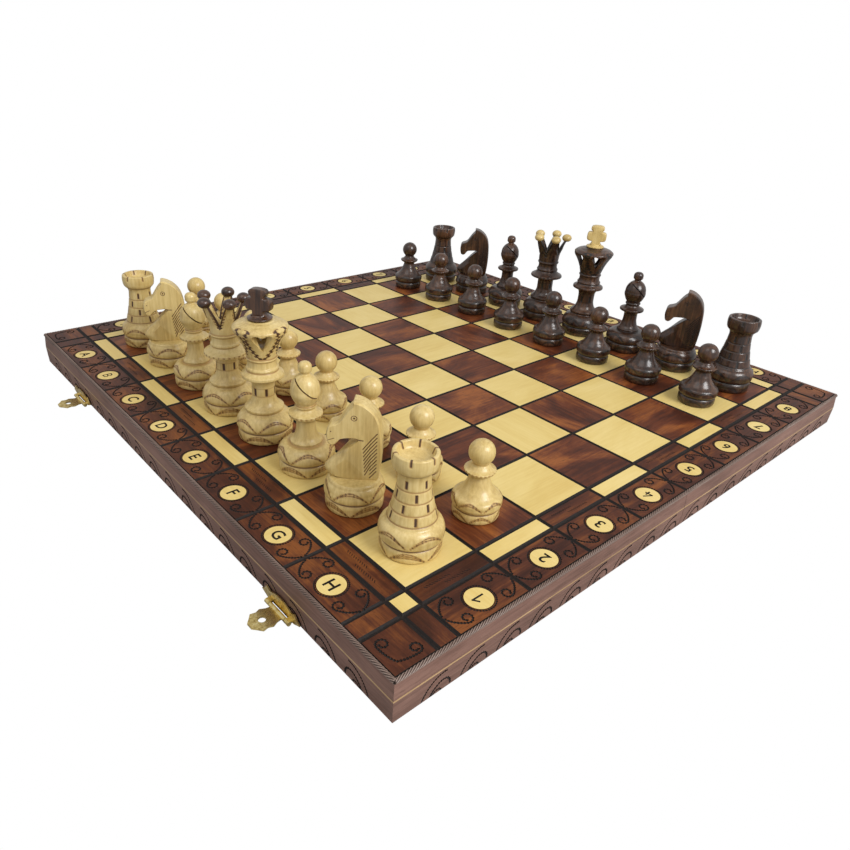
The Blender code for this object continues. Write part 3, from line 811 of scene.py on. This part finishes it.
def near(distance, half_width, blur=0.35):
    """1 within half_width of a line, falling to 0 over blur, in millimetres."""
    return np.clip((half_width + blur - distance) / blur, 0, 1)


def sector(angle, count, phase=0.0):
    """The angle from the middle of the nearest of count even sectors."""
    width = TAU / count
    return (angle - phase + width / 2) % width - width / 2


def polar(points):
    return np.arctan2(points[:, 1], points[:, 0]), np.hypot(points[:, 0], points[:, 1])


class Marks:
    """Burnt and cut marks of a turned piece, as burn (0 to 1) and depth in millimetres."""

    def __init__(self):
        self.made = []

    def add(self, cover, burn, depth=0.0, stitched=False):
        """cover(angle, radius, height) is how far a mark covers each point, from 0 to 1."""
        self.made.append((cover, burn, depth, stitched))
        return self

    def ring(self, height, half, burn):
        return self.add(lambda a, r, z: near(abs(z - height), half), burn)

    def dashes(self, height, tall, wide, count, phase, burn=1.0, depth=0.4):
        def cover(a, r, z):
            outside = np.maximum(abs(sector(a, count, phase)) * r - wide / 2, abs(z - height) - tall / 2)
            return near(outside, 0.0, 0.5)
        return self.add(cover, burn, depth)

    def dots(self, height, radius, count, burn):
        def cover(a, r, z):
            return near(np.hypot(sector(a, count) * r, z - height), radius, 0.4)
        return self.add(cover, burn, 0.25)

    def arcs(self, low, high, count, phase, strokes, burn, least_r, reach=0.94):
        """Stitched arches side by side round the piece; strokes are offsets below the outermost line."""
        def cover(a, r, z):
            share = sector(a, count, phase) * count / math.pi / reach
            slope = 2 * (high - low) * share * count / math.pi / np.maximum(r, 1)
            covered = np.zeros(len(z))
            for offset in strokes:
                curve = low + (high - low - offset) * (1 - share ** 2)
                away = abs(z - curve) / np.sqrt(1 + slope ** 2)
                covered = np.maximum(covered, near(away, 0.22) * (abs(share) < 1) * (r > least_r))
            return covered
        return self.add(cover, burn, 0.15, stitched=True)

    def read(self, points):
        """Burn and depth at each point."""
        angle, radius = polar(points)
        stitches = 0.78 + 0.22 * np.sin(angle * STITCHES)
        burnt, pressed = np.zeros(len(points)), np.zeros(len(points))
        for cover, burn, depth, stitched in self.made:
            covered = cover(angle, radius, points[:, 2])
            burnt = np.maximum(burnt, covered * burn * (stitches if stitched else 1))
            pressed = np.maximum(pressed, covered * depth)
        return burnt, pressed

    def press(self, points):
        """Points with the marks pressed in towards the axis."""
        depth = self.read(points)[1]
        radius = np.maximum(polar(points)[1], 1e-6)
        pressed = points.copy()
        pressed[:, :2] *= (np.maximum(radius - depth, 0) / radius)[:, None]
        return pressed


def foot_marks(wide=0.0):
    marks = Marks().arcs(10.6, 17.4, 5, 0.3, (0.0, 1.2), 0.95, 12).ring(8.3, 0.25, 0.75)
    return marks.arcs(0.6, 7.0, 5, 0.3 + math.pi / 5, (0.0, 1.3, 2.6), 0.9, 16 + wide)


def rook_marks():
    marks = foot_marks().dashes(62.8, 4.0, 0.7, 6, 0.2, burn=0.9, depth=0.5)
    for i, height in enumerate((46.4, 38.9, 32.0, 25.4)):
        marks.dashes(height, 4.4, 1.2, 5, 0.55 + i * math.pi / 5)
    for height in (53.3, 42.6, 35.6, 28.6, 22.3):
        marks.ring(height, 0.2, 0.6)
    return marks


def pawn_marks():
    marks = Marks().arcs(10.0, 14.6, 6, 0.2, (0.0, 1.0), 0.9, 10).arcs(0.6, 5.4, 6, 0.7, (0.0, 1.1), 0.85, 13)
    return marks.dots(32.0, 0.45, 24, 0.5).ring(6.8, 0.2, 0.7).ring(29.0, 0.2, 0.4).ring(37.0, 0.3, 0.3)


def bishop_marks():
    marks = foot_marks().dots(40.3, 0.5, 22, 0.55)
    return marks.ring(47.1, 0.2, 0.5).ring(45.2, 0.2, 0.4).ring(19.5, 0.2, 0.4)


def royal_marks():
    marks = foot_marks(1.0).dashes(36.4, 5.2, 1.5, 6, 0.2).ring(39.4, 0.25, 0.3).ring(33.4, 0.25, 0.3)
    for height in (52.1, 60.0, 62.1, 21.7):
        marks.ring(height, 0.2, 0.5)
    return marks


def raise_crown(depth):
    """Draws the queen's crown up into points: its rim sinks between them along the crown's slope."""
    def reshape(points):
        angle, radius = polar(points)
        above = np.where(radius > 3, points[:, 2] - CROWN_LOW, 0).clip(0)
        nearness = 2 * abs((angle * CROWN_POINTS / TAU % 1.0) - 0.5)
        rise = np.clip((nearness - 0.06) / 0.70, 0, 1)
        drop = above * depth * (1 - rise)
        shrink = np.where(radius > 1e-6, (radius - CROWN_SLOPE * drop) / np.maximum(radius, 1e-6), 1)
        raised = points.copy()
        raised[:, :2] *= shrink[:, None]
        raised[:, 2] -= drop
        reach = CROWN_EDGE / np.maximum(1 - depth * (1 - rise), 0.12)
        reach = reach * (1 + 0.45 * np.sign(np.sin(raised[:, 2] * 2.6)))
        at_edge = near(CROWN_RIM - points[:, 2], reach, 0.5) * (points[:, 2] > CROWN_LOW)
        return raised, at_edge * (radius > 9) * (rise < 0.98)
    return reshape


def oblate_ball(center, radius, half_height, sides=28, rows=16):
    """A turned ball, slightly flattened, in millimetres."""
    profile = [(math.sin(t) * radius, math.cos(t) * half_height) for t in np.linspace(0, math.pi, rows)]
    points, faces = lathe(profile, sides, step=9.0)
    return points + np.array(center), faces


# ------------------------------------------------------------------ cuts of the king and the bishop

# Half outlines (across, up) of a crown window at the face and at its throat, the hollow's (radius, height),
# and each army's number of windows and their relative width
WINDOW_FACE = [(0.0, 81.6), (4.4, 83.6), (8.6, 83.0), (10.8, 80.0), (9.6, 75.2), (6.2, 69.8), (2.6, 65.2),
               (0.0, 63.4)]
WINDOW_THROAT = [(0.0, 80.6), (1.4, 81.4), (2.8, 81.3), (3.5, 80.2), (2.9, 77.0), (1.9, 73.6), (0.9, 70.8),
                 (0.0, 69.6)]
WINDOW_DEPTHS = ((21.0, WINDOW_FACE), (12.4, WINDOW_THROAT), (5.0, WINDOW_THROAT))
CROWN_CAVITY = [(0.0, 82.6), (12.6, 82.2), (13.4, 80.6), (12.8, 77.0), (11.8, 74.0), (8.5, 70.4), (5.0, 68.8),
                (0.0, 68.6)]
KING_WINDOWS = {"white": (4, 1.0), "black": (5, 0.93)}
# Heights and half widths of the burnt zigzag beside a window
ZIGZAG_HEIGHTS = [61.5, 65.2, 69.8, 75.2, 80.4, 84.6]
ZIGZAG_WIDTHS = [0.6, 3.6, 7.2, 10.6, 12.0, 10.0]
# The slit of the bishop's mitre in millimetres and radians
SLIT_LOW, SLIT_HIGH = (3.5, -12.0, -0.45), (14.0, 12.0, 0.45)
SLIT_TILT = math.radians(-42)
SLIT_HEIGHT = 61.0


def fine_outline(outline):
    """A closed outline with rounded corners, by cutting corners twice."""
    made = np.array(outline, float)
    for _ in range(2):
        after = np.roll(made, -1, 0)
        made = np.stack([0.8 * made + 0.2 * after, 0.2 * made + 0.8 * after], 1).reshape(-1, 2)
    return made


def window_cutter(turn, width):
    """A heart-shaped wedge that narrows to a small hole, which opens into the crown's cavity."""
    rings = []
    for x, half in WINDOW_DEPTHS:
        outline = fine_outline(half + [(-y, z) for y, z in half[-2:0:-1]])
        rings.append([(x, y * width, z) for y, z in outline])
    points, faces = stack(rings)
    return placed(points, turn), faces


def slit_cutter():
    """The bishop's slanted cut, a thin slab that enters one side of the mitre."""
    points, faces = stack([box_ring(SLIT_LOW, SLIT_HIGH, z) for z in (SLIT_LOW[2], SLIT_HIGH[2])])
    x, y, z = points.T
    c, s = math.cos(SLIT_TILT), math.sin(SLIT_TILT)
    return np.column_stack([x, y * c - z * s, y * s + z * c + SLIT_HEIGHT]), faces


def king_marks(count, width):
    """A king's marks, with the burnt zigzag beside each window of the crown."""
    def cover(a, r, z):
        half_width = np.interp(z, ZIGZAG_HEIGHTS, ZIGZAG_WIDTHS) * width
        away = abs(abs(sector(a, count)) * r - half_width + 0.7 * np.sign(np.sin(z * 2.1)))
        return near(away, 1.2, 0.3) * (z > 62.4) * (z < 85.6) * (r > 8)
    return royal_marks().add(cover, 0.95, 0.2)


# ------------------------------------------------------------------ the knight's head and the king's cross

# (forward, up) in millimetres, from the nose over the ear, down the back and up the chest to the chin
KNIGHT_HEAD = [
    (16.4, 49.2), (17.0, 53.6), (16.6, 57.4), (15.2, 59.6), (12.4, 60.6), (9.6, 62.0), (7.6, 65.0),
    (5.4, 68.8), (3.0, 72.0), (1.0, 73.8), (1.4, 77.0), (-1.4, 76.8), (-4.8, 75.6), (-8.4, 73.2),
    (-11.6, 69.8), (-14.2, 65.0), (-15.8, 58.0), (-16.5, 48.0), (-16.4, 38.0), (-15.8, 29.0), (-14.6, 21.8), (12.4, 21.8),
    (16.6, 24.0), (19.2, 27.4), (17.4, 31.0), (10.4, 38.0), (3.4, 45.4), (-2.6, 51.0), (-2.2, 52.0),
    (1.4, 52.0), (8.4, 51.2), (9.8, 49.0), (11.4, 46.8), (13.4, 46.0), (15.4, 46.8),
]
KNIGHT_EYE = (0.2, 66.4)
EYE_RING_R = 1.7
PUPIL_R = 0.8
NOSTRIL = (14.0, 56.2)
NOSTRIL_R = 0.5
# Jaw and mouth lines with their radii
FACE_LINES = (([(-2.2, 51.5), (-5.6, 51.2)], 0.5), ([(15.6, 50.0), (12.0, 51.6)], 0.3))
MANE_LINES = 11
MANE_TOP = 57.0
MANE_PITCH = 2.7
MANE_R = 0.42
MANE_LOWEST = 23.5
HEAD_HALF = 6.2
HEAD_LIFT = 20.0
HEAD_SCALE = 0.96
CHEST_FACET = 5.0
CHEST_NARROWING = 2.4


def inset_outline(outline, amount, steps=8):
    """A closed outline drawn inwards in small steps, relaxed after each so that its corners never cross."""
    if np.cross(outline, np.roll(outline, -1, 0)).sum() > 0:
        amount = -amount
    for _ in range(steps):
        tangent = np.roll(outline, -1, 0) - np.roll(outline, 1, 0)
        tangent /= np.linalg.norm(tangent, axis=1)[:, None]
        outline = outline + np.stack([tangent[:, 1], -tangent[:, 0]], 1) * amount / steps
        outline = 0.6 * outline + 0.2 * np.roll(outline, 1, 0) + 0.2 * np.roll(outline, -1, 0)
    return outline


def side_ring(outline, across):
    """An outline in the (forward, up) plane at a distance across."""
    return np.column_stack([outline[:, 0], np.full(len(outline), across), outline[:, 1]])


def on_side(cutter, side, half):
    """A cutter made flat on z = 0 moved onto a side face."""
    points, faces = cutter
    return np.column_stack([points[:, 0], side * (half - points[:, 2]), points[:, 1]]), faces


def round_dot(center, radius):
    return oblate_ball((*center, 0), radius, radius, 10, 7)


def head_cutters():
    """The mane, eye, jaw, mouth and nostril of one side, made flat."""
    cutters = []
    for i in range(MANE_LINES):
        top = MANE_TOP - MANE_PITCH * i
        line = [(-13.8, top), (-9.6, top - 5.6), (-5.2 - 0.2 * i, top - 12.0)]
        cutters.append(stroke(line[:2] if line[2][1] < MANE_LOWEST else line, 1.6, MANE_R))
    cutters.append(stroke(circle(EYE_RING_R, 40) + np.array(KNIGHT_EYE), 0.5, 0.32, cyclic=True))
    cutters.append(round_dot(KNIGHT_EYE, PUPIL_R))
    cutters += [stroke(line, 0.8, radius) for line, radius in FACE_LINES]
    return cutters + [round_dot(NOSTRIL, NOSTRIL_R)]


def knight_head():
    """Flat sides with softened edges, whose chest slopes back from a ridge in two facets."""
    outline = fine_outline(KNIGHT_HEAD)
    chest = np.clip((14 - abs(outline[:, 1] - 32)) / 8, 0, 1) * np.clip((outline[:, 0] - 3) / 6, 0, 1)
    soft, inner = outline.copy(), inset_outline(outline, 0.7)
    soft[:, 0] -= 0.3 * CHEST_FACET * chest
    inner[:, 0] -= CHEST_FACET * chest
    rings = []
    for loop, across in ((inner, -1.0), (soft, -0.84), (outline, -0.7), (outline, 0.7), (soft, 0.84),
                         (inner, 1.0)):
        ring = side_ring(loop, across * HEAD_HALF)
        ring[:, 1] *= 1 - (1 - abs(across)) * CHEST_NARROWING * chest
        rings.append(ring)
    cutters = [on_side(cutter, side, HEAD_HALF) for side in (-1, 1) for cutter in head_cutters()]
    points, faces, slots = carved_man(*stack(rings), cutters)
    points[:, 2] = (points[:, 2] - points[:, 2].min()) * HEAD_SCALE + HEAD_LIFT
    return points, faces, slots


# Half of the cross in front view, (across, up) in millimetres from its foot to its top
CROSS_HALF = [
    (6.0, 2.4), (4.6, 3.6), (4.1, 5.0), (4.3, 6.2), (6.4, 6.3), (8.4, 6.9), (9.2, 8.6), (9.3, 10.8),
    (9.2, 12.8), (8.2, 14.6), (6.2, 15.0), (4.4, 15.2), (5.0, 16.2), (6.2, 17.2), (6.4, 19.0),
    (5.4, 20.6), (2.6, 21.3),
]
CROSS_THICK = 3.4
CROSS_ROUND = 0.8


def cross_slab():
    right = np.array(CROSS_HALF)
    outline = fine_outline(np.concatenate([right, right[::-1] * np.array([-1, 1])]))
    inner = inset_outline(outline, 0.9)
    flat = CROSS_THICK - CROSS_ROUND
    return stack([side_ring(inner, -CROSS_THICK), side_ring(outline, -flat), side_ring(outline, flat),
                  side_ring(inner, CROSS_THICK)])


# ------------------------------------------------------------------ the two armies

BACK_RANK = ["rook", "knight", "bishop", "queen", "king", "bishop", "knight", "rook"]
# How far each man is turned, in degrees; the others stand at random
HEADING = {
    "b1": 245, "g1": 225, "b8": 223, "g8": 205,
    "d1": 64, "d8": 37, "e1": -27, "e8": -37,
    "c1": -42, "f1": -48, "c8": -30, "f8": -40,
}
FINIAL_HEADING = {"e1": 34, "e8": 33}
FINIAL_Z = 88.5
GAP = 0.3 * MM


def turned_man(profile, marks, sides=TURNED_SIDES, reshape=None, cutters=(), cut_slot=0):
    """A turned and carved part of a chessman, as Shape.add takes it."""
    points, faces = lathe(profile, sides)
    points, slots, edge = marks.press(points), 0, 0.0
    if reshape is not None:
        points, edge = reshape(points)
    if cutters:
        points, faces, slots = carved_man(points, faces, cutters, cut_slot)
    return points * MM, faces, slots, "z", np.maximum(marks.read(points)[0], edge), True


def queen_balls():
    ring, height, radius, half_height = QUEEN_BALL
    balls = []
    for i in range(CROWN_POINTS):
        turn = TAU * i / CROWN_POINTS
        middle = (ring * math.cos(turn), ring * math.sin(turn), height)
        points, faces = oblate_ball(middle, radius, half_height)
        balls.append((points * MM, faces, 2, "x", 0.0, True))
    return balls


def make_kinds():
    """The parts of each kind of chessman; the queens and kings of the two armies differ."""
    head, head_faces, head_slots = knight_head()
    kinds = {
        "pawn": [turned_man(PAWN, pawn_marks(), PAWN_SIDES)],
        "rook": [turned_man(ROOK, rook_marks())],
        "bishop": [turned_man(BISHOP, bishop_marks(), cutters=[slit_cutter()], cut_slot=1)],
        "knight": [turned_man(KNIGHT_FOOT, foot_marks()), (head * MM, head_faces, head_slots, "z")],
    }
    for colour, (count, width) in KING_WINDOWS.items():
        cutters = [lathe(CROWN_CAVITY, 48, step=3.0)]
        cutters += [window_cutter(i * TAU / count, width) for i in range(count)]
        kinds[f"{colour}_king"] = [turned_man(KING, king_marks(count, width), cutters=cutters)]
        crown = royal_marks().dots(46.6, 0.55, 26, 0.6)
        queen = turned_man(QUEEN, crown, QUEEN_SIDES, raise_crown(CROWN_DEPTH[colour]))
        kinds[f"{colour}_queen"] = [queen] + queen_balls()
    return kinds


def finial():
    """The parts of the king's cross: the slab and its turned foot."""
    slab, slab_faces = cross_slab()
    foot, foot_faces = lathe(FINIAL_FOOT, 48)
    return [(slab * MM, slab_faces, 0, "z"), (foot * MM, foot_faces, 0, "z", 0.0, True)]


def build_carving(name, parts, woods, center, heading):
    shape = Shape()
    for part in parts:
        shape.add(*part)
    item = shape.build(name, woods, center, math.radians(heading))
    item.data.set_sharp_from_angle(angle=CRISP_ANGLE)
    return item


def build_army(colour, back, pawns):
    woods = MAN_WOODS[colour]
    for i, kind in enumerate(BACK_RANK):
        for role, rank in ((kind, back), ("pawn", pawns)):
            square = f"{FILES[i]}{rank}"
            node = f"{colour}_{role}_{square}"
            center = Vector(((i - 3.5) * SQUARE, (rank - 4.5) * SQUARE + FOLD_Y, TOP + GAP))
            heading = HEADING.get(square, rng.uniform(-180, 180))
            parts = KINDS.get(role) or KINDS[f"{colour}_{role}"]
            man = build_carving(f"carved_{square}_{role}", parts, woods, center, heading)
            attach(man, node)
            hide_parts(node)
            if role == "king":
                cross = build_carving(f"carved_{square}_cross", FINIAL, woods[2:],
                                      center + Vector((0, 0, FINIAL_Z * MM)), FINIAL_HEADING[square])
                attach(cross, node)
                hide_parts(f"{colour}_king_cross")


FINIAL = finial()
KINDS = make_kinds()
build_army("white", 1, 2)
build_army("black", 8, 7)


# ------------------------------------------------------------------ carved sides

# One side in section as (distance in from the board's outer face, height from its top) in millimetres, and
# the slot in SIDE_WOODS of the face after each point and of the two ends
SIDE_SECTION = [(2.6, -0.9), (1.2, -1.6), (1.1, -2.6), (0.3, -13.05), (0.3, -14.15), (0.8, -28.6),
                (1.6, -30.0), (11.6, -30.0), (12.0, -29.6), (12.0, -6.9), (2.6, -6.9)]
SIDE_SLOTS = [1, 1, 0, 2, 0, 0, 0, 0, 0, 0, 0, 0, 0]
SIDE_WOODS = [RAIL_WOOD, BURNT, AMBER, ROPE_WOOD_PAINTED_HIGHLIGHT]
ROPE_SLOT = 3
MOTIF_PITCH = 27 * MM
MOTIF_FACE = 0.55 * MM
# The leaf motif's arcs: middle, half width, half height, first and last angle, lean and line width
MOTIF_ARCS = (((1.5, -30.5), 13.0, 14.6, 176, 84, 0.15, 1.7), ((0.6, -30.5), 7.0, 9.0, 178, 18, 0.3, 2.0),
              ((-1.8, -30.8), 3.6, 4.4, 170, 20, 0.3, 1.8))
MITRE_END = 17 * MM
FOLD_END = 3 * MM
ROPE_R = 1.4 * MM
ROPE_IN = 1.5 * MM
ROPE_DROP = 0.05 * MM
ROPE_PITCH = 2.4 * MM
ROPE_STRANDS = 6
ROPE_TURNS = np.radians(np.concatenate([np.linspace(-80, 150, 20), [180, 215, 250]]))


def side_length(start, end, mitre_start=False, mitre_end=False):
    """A closed length of the side along X; a mitred end is cut at 45 degrees."""
    return (*stack([[(place + mitre * d * MM, d * MM, z * MM) for d, z in SIDE_SECTION]
                    for place, mitre in ((start, mitre_start), (end, -mitre_end))]), SIDE_SLOTS)


def motif_tile():
    """One length with the leaf motif of the lower band: a long outer arc over two arches."""
    cutters = []
    for (x, y), half_width, half_height, first, last, lean, width in MOTIF_ARCS:
        angles = np.radians(np.linspace(first, last, 50))
        rise = half_height * np.sin(angles)
        path = np.stack([x + half_width * np.cos(angles) + lean * rise, y + rise], 1) * MM
        cutters.append(on_side(beaded(path, width * MM, 1.6 * MM), 1, MOTIF_FACE))
    return carved(*side_length(-MOTIF_PITCH / 2, MOTIF_PITCH / 2), cutters, SIDE_WOODS)


def mirrored(tile):
    points, faces, slots = tile
    return points * np.array([-1, 1, 1]), [face[::-1] for face in faces], slots


def rope(start, end):
    """A twisted bead along X: its radius sinks between the strands, which are burnt there."""
    along = np.linspace(start, end, int((end - start) / (ROPE_PITCH / 6)))[:, None]
    groove = abs(np.cos(np.pi * (along / ROPE_PITCH - ROPE_TURNS * ROPE_STRANDS / TAU))) ** 4
    radius = ROPE_R * (1 - 0.4 * groove)
    inward = ROPE_IN - radius * np.cos(ROPE_TURNS)
    up = radius * np.sin(ROPE_TURNS) - ROPE_R - ROPE_DROP
    points, faces = stack(np.stack([np.broadcast_to(along, radius.shape), inward, up], 2))
    return points, faces, groove.ravel()


def build_side(name, angle, start, end, mitre_start, mitre_end, tile, tiles_from):
    """One side of a half; its local X runs along it and its outer face is at local Y = 0."""
    shape = Shape()
    shift = random_shift()
    count = int((end - start) / MOTIF_PITCH - 0.5)
    lengths = [side_length(start, tiles_from, mitre_start, False),
               side_length(tiles_from + count * MOTIF_PITCH, end, False, mitre_end)]
    for i in range(count):
        points, faces, slots = tile
        lengths.append((points + np.array([tiles_from + (i + 0.5) * MOTIF_PITCH, 0, 0]), faces, slots))
    move = (0, FOLD_Y, TOP)
    out = np.array([0, -BOARD_HALF, 0])
    for points, faces, slots in lengths:
        shape.add(placed(points + out, angle, move), faces, slots, points + shift)
    points, faces, burn = rope(start + ROPE_R * mitre_start, end - ROPE_R * mitre_end)
    # The rope takes the wood whose lighter, greyer tone is painted highlight; its burnt grooves are real
    shape.add(placed(points + out, angle, move), faces, ROPE_SLOT, points + shift, burn, True)
    side = shape.build(name, SIDE_WOODS)
    return side


def build_lining(node):
    """A felt lining whose free face undulates slightly and rolls off at its edges."""
    low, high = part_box(node)
    columns, rows = 96, 48
    x, y = np.meshgrid(np.linspace(low.x, high.x, columns), np.linspace(low.y, high.y, rows))
    edge = np.minimum.reduce([x - low.x, high.x - x, y - low.y, high.y - y])
    wave = np.sin(x * 61) * np.sin(y * 47) + np.sin(x * 23 + y * 31)
    lift = 0.6 * MM * np.clip(1 - edge / (6 * MM), 0, 1) ** 2 + 0.06 * MM * (wave + 2)
    points = np.concatenate([np.stack([x, y, z], 2).reshape(-1, 3)
                             for z in (low.z + lift, np.full(x.shape, high.z))])
    index = np.arange(rows * columns).reshape(rows, columns)
    quads = np.stack([index[:-1, :-1], index[1:, :-1], index[1:, 1:], index[:-1, 1:]], 2).reshape(-1, 4)
    rim = np.concatenate([index[0], index[1:, -1], index[-1, -2::-1], index[-2:0:-1, 0]])
    after = np.roll(rim, -1)
    walls = np.stack([rim, after, after + index.size, rim + index.size], 1)
    shape = Shape()
    shape.add(points, np.concatenate([quads, quads[:, ::-1] + index.size, walls]).tolist(), 0, "x", 0.0, True)
    lining = shape.build(f"lining_{node}", [FELT])
    lining.data.set_sharp_from_angle(angle=CRISP_ANGLE)
    return lining


MOTIF = motif_tile()
for colour, side in COLOURS:
    body = f"{colour}_half"
    outer = build_side(f"side_{colour}_outer", 0.0 if side < 0 else math.pi, -BOARD_HALF, BOARD_HALF, True,
                       True, mirrored(MOTIF), -BOARD_HALF + MITRE_END)
    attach(outer, body)
    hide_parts(f"rail_{colour}_outer")
    for end, name in ENDS:
        at_fold = end * side * SEAM
        at_corner = end * side * BOARD_HALF
        starts_at_fold = at_fold < at_corner
        piece = build_side(f"side_{colour}_{name}", math.pi / 2 * end, min(at_fold, at_corner),
                           max(at_fold, at_corner), not starts_at_fold, starts_at_fold, MOTIF,
                           at_fold + FOLD_END if starts_at_fold else at_corner + MITRE_END)
        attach(piece, body)
        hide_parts(f"rail_{colour}_{name}")
    lining = build_lining(f"felt_{colour}")
    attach(lining, body)
    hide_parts(f"felt_{colour}")


# ------------------------------------------------------------------ carried-over CAD nodes


def node_material(node):
    if node.startswith(("rail", "panel")):
        return RAIL_PLAIN
    if node.startswith("felt"):
        return FELT
    if node.startswith(("hinge", "latch", "hasp", "catch")):
        return BRASS
    return PALE_MEN if node.startswith("white") != node.endswith("cross") else DARK_MEN


for node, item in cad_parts.items():
    item.data.materials.clear()
    item.data.materials.append(node_material(node))


# ------------------------------------------------------------------ stage, light, camera

FLOOR_HALF = 9.0
WORLD_STRENGTH = 0.60
# Name, place, diameter in metres and watts of each lamp; all are aimed at the origin
LAMPS = (("key", (1.6, 0.1, 1.25), 1.0, 29), ("fill", (0.1, -0.9, 1.5), 1.2, 4))
LENS_MM = 29.29
LENS_SHIFT = (0.0223, -0.0012)
CAMERA_PLACE = (0.4221, -0.4004, 0.2857)
CAMERA_DEGREES = (61.408, -2.848, 49.389)
WHITE = (1.0, 1.0, 1.0, 1.0)


def seen_by_camera(tree, shown, shader, output):
    """Shows the camera one shader and every other ray another, as a cut-out photo's white ground needs."""
    rays = tree.nodes.new("ShaderNodeLightPath")
    switch = tree.nodes.new("ShaderNodeMixShader")
    for source, target in ((rays.outputs["Is Camera Ray"], switch.inputs[0]), (shader, switch.inputs[1]),
                           (shown, switch.inputs[2]), (switch.outputs[0], output)):
        tree.links.new(source, target)


def build_stage():
    n = Nodes("pale_floor")
    tone = n.ramp(n.noise(n.own_place(), 3.0), [(0.3, (0.40, 0.40, 0.40)), (0.7, (0.43, 0.43, 0.43))])
    n.set(Base_Color=tone, Roughness=0.9)
    seen_by_camera(n.tree, n.add("ShaderNodeEmission", 0), n.shader.outputs[0],
                   n.tree.nodes["Material Output"].inputs["Surface"])
    corners = box_ring((-FLOOR_HALF, -FLOOR_HALF), (FLOOR_HALF, FLOOR_HALF), 0.0)
    floor = new_object("floor", new_mesh("floor", corners, [(0, 1, 2, 3)], [0], [n.material]))


def build_lights():
    for name, place, size, watts in LAMPS:
        lamp = bpy.data.lights.new(name, "AREA")
        lamp.shape = "DISK"
        lamp.size = size
        lamp.energy = watts
        item = new_object(name, lamp)
        item.location = place
        item.rotation_euler = (-Vector(place)).to_track_quat("-Z", "Y").to_euler()


def build_world():
    world = bpy.data.worlds.new("studio")
    world.use_nodes = True
    tree = world.node_tree
    light = tree.nodes["Background"]
    light.inputs["Strength"].default_value = WORLD_STRENGTH
    shown = tree.nodes.new("ShaderNodeBackground")
    for background in (light, shown):
        background.inputs["Color"].default_value = WHITE
    seen_by_camera(tree, shown.outputs[0], light.outputs[0], tree.nodes["World Output"].inputs["Surface"])
    bpy.context.scene.world = world


def build_camera():
    lens = bpy.data.cameras.new("photo_camera")
    lens.lens = LENS_MM
    lens.sensor_width = 36.0
    lens.shift_x, lens.shift_y = LENS_SHIFT
    lens.clip_start = 0.01
    camera = new_object("photo_camera", lens)
    camera.location = CAMERA_PLACE
    camera.rotation_euler = [math.radians(a) for a in CAMERA_DEGREES]
    bpy.context.scene.camera = camera


build_stage()
build_world()
build_lights()
build_camera()
bpy.context.scene.view_settings.view_transform = "Standard"
